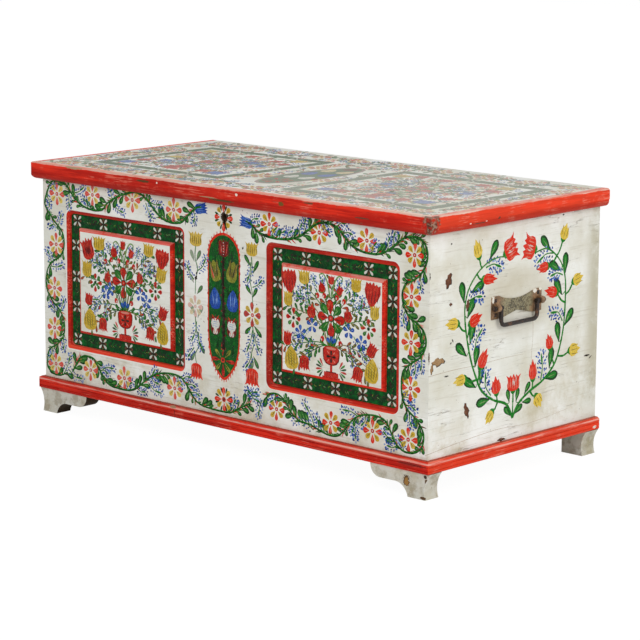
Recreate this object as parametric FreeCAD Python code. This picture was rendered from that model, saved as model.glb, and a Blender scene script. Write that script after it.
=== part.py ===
import FreeCAD, Part
import math
import os

# Dowry chest of painted pine: a dovetailed carcass on bracket feet, with two fielded
# panels in the front, a hinged lid, an inside lock, a lidded till and two bail handles.
# Millimetres. +X is the chest's left to right seen from the front, +Y goes to the back.

# Carcass boards
body_width = 1200.0
body_depth = 572.0
wall_height = 500.0
wall_thick = 24.0
side_lower_share = 0.372
bottom_thick = 22.0
bottom_front_width = 196.0
bottom_back_width = 184.0

# Dovetails at the four corners
tail_count = 6
tail_root_width = 52.0
tail_flare = 4.0

# Sunk windows in the front board and the fielded panels behind them
left_window_margin = 77.5
left_window_width = 403.0
left_window_low = 82.0
left_window_height = 336.0
left_window_radii = (4.0, 18.0, 18.0, 18.0)
right_window_margin = 80.5
right_window_width = 387.5
right_window_low = 88.0
right_window_height = 326.0
right_window_radii = (18.0, 18.0, 18.0, 18.0)
lip_ovolo_width = 12.0
lip_ovolo_depth = 7.5
lip_edge = 1.5
lip_inner_radius = 11.0
panel_lap = 10.0
panel_margin = 31.0
field_ovolo_width = 7.5
field_rise = 8.5
ovolo_steps = 3

# Keyhole
keyhole_offset = 5.0
keyhole_below_rim = 47.0
keyhole_radius = 6.5
keyhole_slot_width = 7.0
keyhole_drop = 17.0

# Red moulding round the base
base_mould_height = 28.0
base_mould_width = 13.0
base_mould_corner = 5.0
base_top_slope = 4.0
base_top_run = 6.0
base_upper_band = 7.0
base_groove = 1.8
base_middle_band = 9.0
base_foot_chamfer = 5.0

# Bracket feet
foot_height = 56.0
foot_thick = 42.0
foot_front_proud = 8.0
foot_top_reach = 11.0
foot_bottom_reach = 2.0
foot_length = 163.0
foot_leg_width = 49.0
foot_arm_depth = 28.0
foot_cove_run = 40.0
foot_nose_radius = 27.0
foot_waist_height = 27.0
foot_waist_in = 3.5
back_foot_thick = 46.0
back_foot_width = 58.0

# Lid
lid_thick = 20.0
lid_seat_gap = 0.3
lid_side_gap = 2.0
lid_front_gap = 1.0
lid_back_reach = 5.0
lid_front_board = 205.0
lid_back_board = 178.0
lid_mould_width = 20.0
lid_mould_height = 40.0
lid_mould_corner = 7.0
lid_top_round = 7.0
lid_quirk_depth = 1.6
lid_quirk_height = 1.8
lid_quirk_below_top = 24.5
lid_mould_base_run = 7.0

# Iron strap hinges
hinge_offset = 380.0
iron_thick = 2.6
knuckle_radius = 5.5
hinge_pin_radius = 2.8
hinge_fit = 0.05
hinge_play = 0.4
hinge_width = 34.0
strap_tip_width = 18.0
strap_length = 300.0
leaf_tip_width = 20.0
leaf_length = 132.0
hinge_pin_head = 1.6
strap_notch_play = 0.6

# Forged nails with square shanks
nail_head_width = 8.4
nail_head_rise = 2.4
nail_head_top = 3.2
nail_shank_width = 3.2
nail_tip_width = 1.2
nail_length = 19.0
bottom_nail_length = 52.0
bottom_nail_inset = 30.0
leaf_nail_shares = (0.28, 0.56, 0.84)
strap_nail_shares = (0.2, 0.45, 0.7, 0.92)

# Inside lock
lock_plate_width = 134.0
lock_plate_below = 36.0
lock_plate_above = 40.0
lock_nail_inset = 8.0
lock_case_width = 104.0
lock_case_below = 28.0
lock_case_above = 34.0
lock_case_depth = 26.0
lock_case_wall = 1.8
lock_key_round = 5.0
lock_key_slot = 5.6
lock_key_drop = 15.0
key_post_radius = 2.2
bolt_above_key = 15.0
bolt_height = 12.0
bolt_thick = 5.0
bolt_tail = 49.0
bolt_nose = 19.0
bolt_play = 0.3
bolt_talon_radius = 4.0
bolt_talon_pitch = 12.0
guide_width = 6.0
guide_wall = 3.0
guide_back_place = 32.0
guide_front_place = 10.0
spring_thick = 1.1
spring_width = 8.0
spring_run = 34.0
spring_sag = 2.4

# Iron staple under the lid, which the bolt enters
staple_place = 25.0
staple_thick = 6.0
staple_wall = 4.0
staple_eye_play = 2.0
staple_eye_room = 1.5
staple_plate_length = 60.0
staple_plate_width = 20.0
staple_slot_play = 2.6
staple_nail_inset = 8.0

# Bail handles
handle_from_front = 283.0
handle_above_carcass = 300.0
handle_half_length = 84.0
handle_half_height = 24.5
handle_waist_half = 13.0
handle_tab_bottom = 32.0
handle_tab_top = 24.0
handle_corner = 4.0
handle_plate_thick = 2.5
bail_radius = 4.4
bail_half_width = 61.0
bail_drop = 38.4
bail_corner = 12.0
bail_bend_steps = 5
bail_stub = 6.0
bail_pivot_out = 9.5
bail_fit = 0.05
bail_knob_radius = 5.6
bail_knob_length = 4.6
lug_radius = 8.0
lug_gap = 1.0
lug_knob_gap = 0.5
handle_nail_out = 72.0
handle_nail_up = 15.5

# Till at the left end
till_width = 110.0
till_depth = 110.0
till_drop = 148.0
till_wall = 12.0
till_floor_thick = 10.0
till_groove = 5.0
till_lid_thick = 10.0
till_lid_lip = 6.0
till_lid_end_gap = 1.0
till_lid_back_gap = 1.5
till_lid_seat_gap = 0.3
till_pivot_in = 16.0
till_peg_radius = 4.0
till_peg_length = 9.0
till_peg_fit = 0.05

# Cutting solids run this far past what they cut
overrun = 2.0

# Directions
RIGHT = FreeCAD.Vector(1, 0, 0)
LEFT = FreeCAD.Vector(-1, 0, 0)
FRONT = FreeCAD.Vector(0, -1, 0)
BACK = FreeCAD.Vector(0, 1, 0)
UP = FreeCAD.Vector(0, 0, 1)

# Places that follow from the sizes
half = body_width / 2
knuckle_reach = 2 * knuckle_radius + hinge_play
lid_front_reach = lid_front_gap + lid_mould_width
front_y = (lid_front_reach - body_depth - knuckle_reach) / 2
back_y = front_y + body_depth
inner_front = front_y + wall_thick
inner_back = back_y - wall_thick
inner_half = half - wall_thick
carcass_low = foot_height + bottom_thick
carcass_high = carcass_low + wall_height
tail_pitch = wall_height / tail_count
lid_low = carcass_high + lid_seat_gap
lid_high = lid_low + lid_thick
panel_face = front_y + lip_ovolo_depth + lip_edge
hinge_y = back_y + knuckle_radius + hinge_play
hinge_z = lid_low - knuckle_radius - hinge_play
middle_knuckle_half = hinge_width / 6
keyhole_z = carcass_high - keyhole_below_rim
plate_inner = inner_front + iron_thick
bolt_z = keyhole_z + bolt_above_key
bolt_y = plate_inner + lock_case_depth / 2
staple_x = keyhole_offset + staple_place
handle_y = front_y + handle_from_front
handle_z = carcass_low + handle_above_carcass
till_top = carcass_high - till_drop
till_low = till_top - till_depth
till_inner_x = -inner_half + till_width


def at_x(x):
    """Places an outline drawn in (y, z) at one x."""
    return lambda point: FreeCAD.Vector(x, point[0], point[1])


def at_y(y):
    """Places an outline drawn in (x, z) at one y."""
    return lambda point: FreeCAD.Vector(point[0], y, point[1])


def at_z(z):
    """Places an outline drawn in (x, y) at one z."""
    return lambda point: FreeCAD.Vector(point[0], point[1], z)


def outline(place, start, steps):
    """Closed wire back to its start."""
    return path(place, start, list(steps) + [start])


def path(place, start, steps):
    """Wire whose steps are the next point, or (through, end) for an arc."""
    edges = []
    here = start
    for step in steps:
        if isinstance(step[0], tuple):
            through, end = step
            edges.append(Part.Arc(place(here), place(through), place(end)).toShape())
        else:
            end = step
            edges.append(Part.LineSegment(place(here), place(end)).toShape())
        here = end
    return Part.Wire(edges)


def prism(wire, dx, dy, dz):
    return Part.Face(wire).extrude(FreeCAD.Vector(dx, dy, dz))


def box(x0, x1, y0, y1, z0, z1):
    return Part.makeBox(x1 - x0, y1 - y0, z1 - z0, FreeCAD.Vector(x0, y0, z0))


def rod_x(x0, x1, y, z, radius):
    return Part.makeCylinder(radius, x1 - x0, FreeCAD.Vector(x0, y, z), FreeCAD.Vector(1, 0, 0))


def rod_y(y0, y1, x, z, radius):
    return Part.makeCylinder(radius, y1 - y0, FreeCAD.Vector(x, y0, z), FreeCAD.Vector(0, 1, 0))


def eight_flats(centre, along, sideways, reach):
    """A forged bar's section square to along, reach from its middle to each flat."""
    across = along.cross(sideways)
    corner = reach / math.cos(math.pi / 8)
    points = []
    for number in range(8):
        angle = math.pi / 8 + number * math.pi / 4
        points.append(centre + sideways * (corner * math.cos(angle)) + across * (corner * math.sin(angle)))
    return Part.Face(Part.makePolygon(points + points[:1]))


def to_left(shape):
    """The same piece on the left side of the chest."""
    return shape.mirror(FreeCAD.Vector(0, 0, 0), FreeCAD.Vector(1, 0, 0))


def rounded(place, a0, a1, b0, b1, radii):
    """Rectangle with a radius for each corner: low left, low right, high right, high left."""
    low_left, low_right, high_right, high_left = radii
    bend_in = 1 - math.sqrt(0.5)
    steps = [
        (a1 - low_right, b0),
        ((a1 - low_right * bend_in, b0 + low_right * bend_in), (a1, b0 + low_right)),
        (a1, b1 - high_right),
        ((a1 - high_right * bend_in, b1 - high_right * bend_in), (a1 - high_right, b1)),
        (a0 + high_left, b1),
        ((a0 + high_left * bend_in, b1 - high_left * bend_in), (a0, b1 - high_left)),
        (a0, b0 + low_left),
        ((a0 + low_left * bend_in, b0 + low_left * bend_in), (a0 + low_left, b0)),
    ]
    return path(place, (a0 + low_left, b0), steps)


# Nails

def nail(x, y, z, toward, length):
    """A nail whose head sits on (x, y, z) and whose shank runs along toward."""
    head_half = nail_head_width / 2
    top_half = nail_head_top / 2
    shank_half = nail_shank_width / 2
    tip_half = nail_tip_width / 2
    head = Part.makeWedge(-head_half, 0, -head_half, -top_half, -top_half,
                          head_half, nail_head_rise, head_half, top_half, top_half)
    shank = Part.makeWedge(-shank_half, 0, -shank_half, -tip_half, -tip_half,
                           shank_half, length, shank_half, tip_half, tip_half)
    shank.rotate(FreeCAD.Vector(0, 0, 0), FreeCAD.Vector(1, 0, 0), 180)
    whole = head.fuse(shank).removeSplitter()
    turn = FreeCAD.Rotation(FreeCAD.Vector(0, -1, 0), toward)
    whole.Placement = FreeCAD.Placement(FreeCAD.Vector(x, y, z), turn)
    return whole


def handle_nails():
    """Four nails in each handle plate."""
    nails = []
    for toward, side in ((LEFT, 1), (RIGHT, -1)):
        x = side * (half + handle_plate_thick)
        for across in (-handle_nail_out, handle_nail_out):
            for up in (-handle_nail_up, handle_nail_up):
                nails.append(nail(x, handle_y + across, handle_z + up, toward, nail_length))
    return nails


def hinge_leaf_nails():
    """Three nails down each fixed leaf, into the back board."""
    nails = []
    for x in (-hinge_offset, hinge_offset):
        for share in leaf_nail_shares:
            z = hinge_z - share * leaf_length
            nails.append(nail(x, back_y + iron_thick, z, FRONT, nail_length))
    return nails


def hinge_strap_nails():
    """Four nails along each strap, up into the lid."""
    nails = []
    for x in (-hinge_offset, hinge_offset):
        for share in strap_nail_shares:
            y = hinge_y - share * strap_length
            nails.append(nail(x, y, lid_low - iron_thick, UP, nail_length))
    return nails


def lock_nails():
    """One nail in each corner of the lock plate."""
    nails = []
    reach = lock_plate_width / 2 - lock_nail_inset
    for x in (keyhole_offset - reach, keyhole_offset + reach):
        for z in (keyhole_z - lock_plate_below + lock_nail_inset,
                  keyhole_z + lock_plate_above - lock_nail_inset):
            nails.append(nail(x, plate_inner, z, FRONT, nail_length))
    return nails


def staple_nails():
    """Two nails in the staple's plate, up into the lid."""
    reach = staple_plate_length / 2 - staple_nail_inset
    return [nail(staple_x + side * reach, bolt_y, lid_low - iron_thick, UP, nail_length)
            for side in (-1, 1)]


def bottom_nails():
    """Two nails in each end of each bottom plank, up into the side boards."""
    nails = []
    for y0, y1 in plank_edges():
        for x in (-half + wall_thick / 2, half - wall_thick / 2):
            for y in (y0 + bottom_nail_inset + foot_clear(y0, front_y),
                      y1 - bottom_nail_inset - foot_clear(y1, back_y)):
                nails.append(nail(x, y, foot_height, UP, bottom_nail_length))
    return nails


def foot_clear(edge, end):
    """Nails in the outer planks stay clear of the feet."""
    return foot_thick if edge == end else 0


# Dovetailed carcass

def tail_outlines():
    """Each tail's corners in (x, z), on the right end."""
    root = tail_root_width / 2
    tip = root + tail_flare
    outlines = []
    for number in range(tail_count):
        z = carcass_low + tail_pitch * (number + 0.5)
        outlines.append([(inner_half, z - root), (half, z - tip), (half, z + tip), (inner_half, z + root)])
    return outlines


def tails(y0, y1):
    """The tails of one board's right end, between two depths."""
    solids = []
    for corners in tail_outlines():
        wire = outline(at_y(y0), corners[0], corners[1:])
        solids.append(prism(wire, 0, y1 - y0, 0))
    return Part.makeCompound(solids)


def pins(y0, y1):
    """What the side board keeps at the right end between the tails."""
    corner = box(inner_half, half, y0, y1, carcass_low, carcass_high)
    return corner.cut(tails(y0, y1))


def dovetailed_board(y0, y1):
    """A front or back board with its tails cut on both ends."""
    board = box(-half, half, y0, y1, carcass_low, carcass_high)
    sockets = pins(y0, y1)
    return board.cut(sockets).cut(to_left(sockets))


def side_board():
    """The right side, with a socket for each tail of the front and the back."""
    board = box(inner_half, half, front_y, back_y, carcass_low, carcass_high)
    return board.cut(tails(front_y, inner_front)).cut(tails(inner_back, back_y))


def below(shape, z):
    return shape.common(box(-half, half, front_y, back_y, carcass_low, z))


def above(shape, z):
    return shape.common(box(-half, half, front_y, back_y, z, carcass_high))


# Sunk windows and fielded panels

def windows():
    """Each window as its x range, z range and corner radii."""
    left_x = -half + left_window_margin
    left_z = carcass_low + left_window_low
    right_x = half - right_window_margin
    right_z = carcass_low + right_window_low
    return {
        "left": (left_x, left_x + left_window_width,
                 left_z, left_z + left_window_height, left_window_radii),
        "right": (right_x - right_window_width, right_x,
                  right_z, right_z + right_window_height, right_window_radii),
    }


def window_wire(window, inset, y):
    """The window's outline, drawn in by inset; its corners tend to the inner radius."""
    x0, x1, z0, z1, radii = window
    share = inset / lip_ovolo_width
    inner = [radius + (lip_inner_radius - radius) * share for radius in radii]
    return rounded(at_y(y), x0 + inset, x1 - inset, z0 + inset, z1 - inset, inner)


def window_cut(window):
    """Cuts the opening with its quarter-round edge."""
    wires = [window_wire(window, 0, front_y - overrun)]
    for step in range(ovolo_steps + 1):
        angle = math.radians(90) * step / ovolo_steps
        inset = lip_ovolo_width * math.sin(angle)
        depth = lip_ovolo_depth * (1 - math.cos(angle))
        wires.append(window_wire(window, inset, front_y + depth))
    wires.append(window_wire(window, lip_ovolo_width, panel_face + overrun))
    return Part.makeLoft(wires, True, True)


def panel_bounds(window):
    """The panel's edges, which lie behind the lip of the window."""
    x0, x1, z0, z1, radii = window
    set_in = lip_ovolo_width - panel_lap
    return x0 + set_in, x1 - set_in, z0 + set_in, z1 - set_in


def rebate_cut(window):
    x0, x1, z0, z1 = panel_bounds(window)
    return box(x0, x1, panel_face, inner_front + overrun, z0, z1)


def field_wire(window, grow, y):
    """The raised field's outline, grown outwards down its quarter-round edge."""
    x0, x1, z0, z1, radii = window
    inset = lip_ovolo_width + panel_margin + field_ovolo_width - grow
    corners = [(x0 + inset, z0 + inset), (x1 - inset, z0 + inset),
               (x1 - inset, z1 - inset), (x0 + inset, z1 - inset)]
    return outline(at_y(y), corners[0], corners[1:])


def fielded_panel(window):
    """A flat margin round a raised field with a quarter-round edge."""
    x0, x1, z0, z1 = panel_bounds(window)
    margin = box(x0, x1, panel_face, inner_front, z0, z1)
    wires = []
    for step in range(ovolo_steps + 1):
        angle = math.radians(90) * step / ovolo_steps
        grow = field_ovolo_width * math.sin(angle)
        drop = field_rise * (1 - math.cos(angle))
        wires.append(field_wire(window, grow, panel_face - field_rise + drop))
    wires.append(field_wire(window, field_ovolo_width, panel_face + overrun))
    field = Part.makeLoft(wires, True, True)
    return margin.fuse(field).removeSplitter()


# Keyhole and the till's housings in the front and back boards

def keyhole_cut(y0, y1, radius, slot, drop):
    round_part = rod_y(y0, y1, keyhole_offset, keyhole_z, radius)
    slot_part = box(keyhole_offset - slot / 2, keyhole_offset + slot / 2, y0, y1,
                    keyhole_z - drop, keyhole_z)
    return round_part.fuse(slot_part)


def till_grooves():
    """Housings for the till's wall and floor, in both long boards."""
    y0 = inner_front - till_groove
    y1 = inner_back + till_groove
    wall_slot = box(till_inner_x, till_inner_x + till_wall, y0, y1, till_low, till_top)
    floor_slot = box(-inner_half, till_inner_x, y0, y1, till_low, till_low + till_floor_thick)
    return wall_slot.fuse(floor_slot)


def till_pivot_z():
    return till_top + till_lid_seat_gap + till_lid_thick / 2


def till_peg_cut():
    """The sockets of the till lid's pegs."""
    reach = till_peg_length + till_lid_end_gap
    return rod_y(inner_front - reach, inner_back + reach, -inner_half + till_pivot_in,
                 till_pivot_z(), till_peg_radius + till_peg_fit)


def front_board():
    board = dovetailed_board(front_y, inner_front)
    for window in windows().values():
        board = board.cut(window_cut(window)).cut(rebate_cut(window))
    board = board.cut(keyhole_cut(front_y - overrun, inner_front + overrun,
                                  keyhole_radius, keyhole_slot_width, keyhole_drop))
    board = board.cut(till_grooves()).cut(till_peg_cut())
    return board.cut(Part.makeCompound(lock_nails()))


def front_panel(name):
    return fielded_panel(windows()[name]).cut(till_grooves())


def strap_notches():
    """Notches in the back board's top edge, which the lid straps lie in."""
    reach = hinge_width / 2 + strap_notch_play
    low = lid_low - iron_thick - strap_notch_play
    notches = [box(x - reach, x + reach, inner_back - overrun, back_y + overrun, low, carcass_high + overrun)
               for x in (-hinge_offset, hinge_offset)]
    return Part.makeCompound(notches)


def back_board():
    board = dovetailed_board(inner_back, back_y)
    board = board.cut(strap_notches()).cut(till_grooves()).cut(till_peg_cut())
    return board.cut(Part.makeCompound(hinge_leaf_nails()))


def plank_edges():
    """Front and back edge of each bottom plank."""
    first = front_y + bottom_front_width
    second = back_y - bottom_back_width
    return [(front_y, first), (first, second), (second, back_y)]


def bottom_planks():
    nails = Part.makeCompound(bottom_nails())
    return [box(-half, half, y0, y1, foot_height, carcass_low).cut(nails) for y0, y1 in plank_edges()]


# Mouldings

def upright_prism(start, steps, low, high):
    """A plan outline raised from below low to above high, for cutting."""
    return prism(outline(at_z(low - overrun), start, steps), 0, 0, high - low + 2 * overrun)


def corner_waste(x_out, y_out, corner, low, high):
    """What rounding takes off the outer corner at (x_out, y_out)."""
    x0 = x_out - corner
    y0 = y_out + corner
    waste = box(x0, x_out + overrun, y_out - overrun, y0, low - overrun, high + overrun)
    kept = Part.makeCylinder(corner, high - low + 2 * overrun, FreeCAD.Vector(x0, y0, low - overrun))
    return waste.cut(kept)


def mitred(profile_at, gap_x, gap_y, width, corner, low, high, back):
    """Front, right and left lengths of a moulding, mitred at the front corners."""
    x_in = half + gap_x
    y_in = front_y - gap_y
    x_out = x_in + width
    y_out = y_in - width
    inner = (x_in - overrun, y_in + overrun)
    outer = (x_out + overrun, y_out - overrun)
    past_front = upright_prism(inner, [outer, (outer[0], inner[1])], low, high)
    past_side = upright_prism(inner, [outer, (inner[0], outer[1])], low, high)
    waste = corner_waste(x_out, y_out, corner, low, high)
    front = prism(profile_at(lambda point: FreeCAD.Vector(-outer[0], y_in - point[0], point[1])),
                  2 * outer[0], 0, 0)
    right = prism(profile_at(lambda point: FreeCAD.Vector(x_in + point[0], outer[1], point[1])),
                  0, back - outer[1], 0)
    right = right.cut(past_side).cut(waste)
    for cutter in (past_front, waste):
        front = front.cut(cutter).cut(to_left(cutter))
    return front, right, to_left(right)


def base_profile(place):
    """Section of the base moulding: top bead, grooved bands and a small bottom chamfer."""
    low = foot_height
    high = foot_height + base_mould_height
    out = base_mould_width
    bead_end = high - base_top_slope
    band_end = bead_end - base_upper_band
    band_start = band_end - base_groove
    flat_end = band_start - base_middle_band
    chamfer = base_foot_chamfer
    steps = [
        (out - chamfer, low),
        ((out - chamfer * (1 - math.sqrt(0.5)), low + chamfer * (1 - math.sqrt(0.5))), (out, low + chamfer)),
        (out, flat_end),
        (out - base_groove, flat_end + base_groove / 2),
        (out, flat_end + base_groove),
        (out, band_start),
        (out - base_groove, band_start + base_groove / 2),
        (out, band_end),
        (out, bead_end),
        (out - base_top_run, high),
        (0, high),
    ]
    return outline(place, (0, low), steps)


def lid_profile(place):
    """Section of the lid moulding: a rounded top edge, a quirk and an ovolo below it."""
    out = lid_mould_width
    low = lid_high - lid_mould_height
    turn = lid_top_round * (1 - math.sqrt(0.5))
    quirk = lid_high - lid_quirk_below_top
    inner = out - lid_quirk_depth
    start = quirk - lid_quirk_height
    run = inner - lid_mould_base_run
    drop = start - low
    middle = (inner - run * (1 - math.sqrt(0.5)), low + drop * (1 - math.sqrt(0.5)))
    steps = [
        (lid_mould_base_run, low),
        (middle, (inner, start)),
        (inner, quirk),
        (out, quirk),
        (out, lid_high - lid_top_round),
        ((out - turn, lid_high - turn), (out - lid_top_round, lid_high)),
        (0, lid_high),
    ]
    return outline(place, (0, low), steps)


def base_mouldings():
    return mitred(base_profile, 0, 0, base_mould_width, base_mould_corner,
                  foot_height, foot_height + base_mould_height, back_y)


def lid_mouldings():
    return mitred(lid_profile, lid_side_gap, lid_front_gap, lid_mould_width, lid_mould_corner,
                  lid_high - lid_mould_height, lid_high, back_y + lid_back_reach)


# Feet

def foot_outline(place):
    """Front bracket foot seen from the front: leg at the outer end, arm with a rounded nose."""
    top_out = half + foot_top_reach
    leg_out = half + foot_bottom_reach
    leg_in = leg_out - foot_leg_width
    tip = top_out - foot_length
    arm_low = foot_height - foot_arm_depth
    cove_start = leg_in - foot_cove_run
    diagonal = math.sqrt(0.5)
    nose_x = tip + foot_nose_radius
    nose_z = arm_low + foot_nose_radius
    cove_x = cove_start + foot_cove_run * diagonal
    steps = [
        (tip, nose_z),
        ((nose_x - foot_nose_radius * diagonal, nose_z - foot_nose_radius * diagonal), (nose_x, arm_low)),
        (cove_start, arm_low),
        ((cove_x, arm_low * diagonal), (leg_in, 0)),
        (leg_out, 0),
        ((leg_out - foot_waist_in, foot_waist_height), (top_out, foot_height)),
    ]
    return outline(place, (tip, foot_height), steps)


def front_foot():
    y0 = front_y - foot_front_proud
    return prism(foot_outline(at_y(y0)), 0, foot_thick, 0)


def back_foot():
    """A plain block with the front foot's hollow outer side."""
    leg_out = half + foot_bottom_reach
    leg_in = leg_out - back_foot_width
    hollow = (leg_out - foot_waist_in, foot_waist_height)
    wire = outline(at_y(back_y - back_foot_thick), (leg_in, foot_height),
                   [(leg_in, 0), (leg_out, 0), (hollow, (half + foot_top_reach, foot_height))])
    return prism(wire, 0, back_foot_thick, 0)


# Lid

def lid_boards():
    """Three boards edge to edge, running the length of the lid."""
    lid_half = half + lid_side_gap
    front = front_y - lid_front_gap
    back = back_y + lid_back_reach
    first = front + lid_front_board
    second = back - lid_back_board
    nails = Part.makeCompound(hinge_strap_nails() + staple_nails())
    return [box(-lid_half, lid_half, y0, y1, lid_low, lid_high).cut(nails)
            for y0, y1 in ((front, first), (first, second), (second, back))]


# Hinges, drawn at x = 0 and moved to their places

def knuckle(x0, x1):
    return rod_x(x0, x1, hinge_y, hinge_z, knuckle_radius)


def hinge_bore():
    return rod_x(-hinge_width, hinge_width, hinge_y, hinge_z, hinge_pin_radius + hinge_fit)


def hinge_leaf():
    """Fixed leaf on the back board, with the two outer knuckles."""
    wide = hinge_width / 2
    gap = middle_knuckle_half + hinge_play / 2
    tip = leaf_tip_width / 2
    low = hinge_z - leaf_length
    plate = outline(at_y(back_y), (-wide, hinge_z),
                    [(-tip, low + 2 * tip), (0, low), (tip, low + 2 * tip), (wide, hinge_z)])
    leaf = prism(plate, 0, iron_thick, 0)
    leaf = leaf.fuse(knuckle(-wide, -gap)).fuse(knuckle(gap, wide))
    room = box(-gap, gap, back_y, back_y + iron_thick, hinge_z - knuckle_radius - hinge_play, hinge_z)
    return leaf.cut(room).cut(hinge_bore())


def hinge_strap():
    """Long strap under the lid, with the middle knuckle."""
    wide = hinge_width / 2
    gap = middle_knuckle_half - hinge_play / 2
    tip = strap_tip_width / 2
    end = hinge_y - strap_length
    plate = outline(at_z(lid_low - iron_thick), (-wide, hinge_y),
                    [(-tip, end + 2 * tip), (0, end), (tip, end + 2 * tip), (wide, hinge_y)])
    strap = prism(plate, 0, 0, iron_thick)
    rear = hinge_y - knuckle_radius - hinge_play
    for x0, x1 in ((-wide - overrun, -gap), (gap, wide + overrun)):
        strap = strap.cut(box(x0, x1, rear, hinge_y + overrun, lid_low - iron_thick, lid_low + overrun))
    return strap.fuse(knuckle(-gap, gap)).cut(hinge_bore())


def hinge_pin():
    """Pin with a peened head at each end."""
    wide = hinge_width / 2
    head = (hinge_pin_radius + knuckle_radius) / 2
    pin = rod_x(-wide, wide, hinge_y, hinge_z, hinge_pin_radius)
    for x0 in (-wide - hinge_pin_head, wide):
        section = eight_flats(FreeCAD.Vector(x0, hinge_y, hinge_z), RIGHT, UP, head)
        pin = pin.fuse(section.extrude(RIGHT * hinge_pin_head))
    return pin.removeSplitter()


def moved(shape, x):
    shape = shape.copy()
    shape.translate(FreeCAD.Vector(x, 0, 0))
    return shape


# Lock

def bolt_guide(x):
    """A forged loop on the lock plate that the bolt slides through."""
    top = bolt_height / 2 + bolt_play + guide_wall
    inside = bolt_height / 2 + bolt_play
    deep = bolt_thick / 2 + bolt_play
    block = box(x - guide_width / 2, x + guide_width / 2, plate_inner, bolt_y + deep + guide_wall,
                bolt_z - top, bolt_z + top)
    window = box(x - guide_width, x + guide_width, bolt_y - deep, bolt_y + deep,
                 bolt_z - inside, bolt_z + inside)
    return block.cut(window)


def lock_plate():
    """Plate nailed inside the front board, with the bolt's two guides."""
    reach = lock_plate_width / 2
    plate = box(keyhole_offset - reach, keyhole_offset + reach, inner_front, plate_inner,
                keyhole_z - lock_plate_below, keyhole_z + lock_plate_above)
    for x in (keyhole_offset - guide_back_place, keyhole_offset + guide_front_place):
        plate = plate.fuse(bolt_guide(x))
    plate = plate.cut(keyhole_cut(inner_front - overrun, plate_inner + overrun,
                                  lock_key_round, lock_key_slot, lock_key_drop))
    return plate.cut(Part.makeCompound(lock_nails()))


def lock_case():
    """Iron cap over the works, with a mouth in its top for the staple."""
    reach = lock_case_width / 2
    x0 = keyhole_offset - reach
    x1 = keyhole_offset + reach
    z0 = keyhole_z - lock_case_below
    z1 = keyhole_z + lock_case_above
    wall = lock_case_wall
    deep = plate_inner + lock_case_depth
    case = box(x0, x1, plate_inner, deep, z0, z1)
    case = case.cut(box(x0 + wall, x1 - wall, plate_inner - overrun, deep - wall, z0 + wall, z1 - wall))
    mouth_x = staple_thick / 2 + staple_slot_play
    mouth_y = staple_half_width() + staple_slot_play
    return case.cut(box(staple_x - mouth_x, staple_x + mouth_x, bolt_y - mouth_y,
                        min(bolt_y + mouth_y, deep - wall), z1 - wall - overrun, z1 + overrun))


def lock_bolt():
    """Sliding bolt with two talons in its lower edge for the key."""
    x0 = keyhole_offset - bolt_tail
    x1 = keyhole_offset + bolt_nose
    low = bolt_z - bolt_height / 2
    bolt = box(x0, x1, bolt_y - bolt_thick / 2, bolt_y + bolt_thick / 2, low, bolt_z + bolt_height / 2)
    for side in (-1, 1):
        x = keyhole_offset - bolt_talon_pitch / 2 + side * bolt_talon_pitch / 2
        bolt = bolt.cut(rod_y(bolt_y - bolt_thick, bolt_y + bolt_thick, x, low, bolt_talon_radius))
    return bolt


def lock_key_post():
    """The post that a hollow key turns on."""
    return rod_y(plate_inner, plate_inner + lock_case_depth - lock_case_wall,
                 keyhole_offset, keyhole_z, key_post_radius)


def lock_spring():
    """Bent leaf spring between the case's top and the bolt."""
    high = keyhole_z + lock_case_above - lock_case_wall
    low = bolt_z + bolt_height / 2 + bolt_play
    x0 = keyhole_offset - guide_back_place + guide_width
    x1 = x0 + spring_run
    middle = (x0 + x1) / 2
    steps = [
        ((middle, low), (x1, high - spring_thick - spring_sag)),
        (x1, high - spring_sag),
        ((middle, low + spring_thick), (x0, high)),
    ]
    wire = outline(at_y(bolt_y - spring_width / 2), (x0, high - spring_thick), steps)
    return prism(wire, 0, spring_width, 0)


def staple_half_width():
    return bolt_thick / 2 + staple_eye_play + staple_wall


def lid_staple():
    """Plate under the lid with a rounded eye hanging into the lock."""
    out = staple_half_width()
    eye = bolt_thick / 2 + staple_eye_play
    eye_half = bolt_height / 2 + staple_eye_room
    low = bolt_z - eye_half - staple_wall
    under = lid_low - iron_thick
    x0 = staple_x - staple_thick / 2
    hanging = outline(at_x(x0), (bolt_y - out, under),
                      [(bolt_y - out, low + out), ((bolt_y, low), (bolt_y + out, low + out)),
                       (bolt_y + out, under)])
    loop = prism(hanging, staple_thick, 0, 0)
    hole = box(x0 - overrun, x0 + staple_thick + overrun, bolt_y - eye, bolt_y + eye,
               bolt_z - eye_half, bolt_z + eye_half)
    reach = staple_plate_length / 2
    plate = box(staple_x - reach, staple_x + reach, bolt_y - staple_plate_width / 2,
                bolt_y + staple_plate_width / 2, under, lid_low)
    return plate.fuse(loop.cut(hole))


# Handles, drawn for the right side

def handle_outline(place):
    """Bow-tie plate in (y, z): tall tabs, a waist, a dished top and a notched bottom."""
    y0 = handle_y - handle_half_length
    y1 = handle_y + handle_half_length
    high = handle_z + handle_half_height
    low = handle_z - handle_half_height
    turn = handle_corner * (1 - math.sqrt(0.5))
    steps = [
        (y0, high - handle_corner),
        ((y0 + turn, high - turn), (y0 + handle_corner, high)),
        (y0 + handle_tab_top, high),
        ((handle_y, handle_z + handle_waist_half), (y1 - handle_tab_top, high)),
        (y1 - handle_corner, high),
        ((y1 - turn, high - turn), (y1, high - handle_corner)),
        (y1, low),
        (y1 - handle_tab_bottom, low),
        (handle_y, handle_z - handle_waist_half),
        (y0 + handle_tab_bottom, low),
    ]
    return outline(place, (y0, low), steps)


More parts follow.
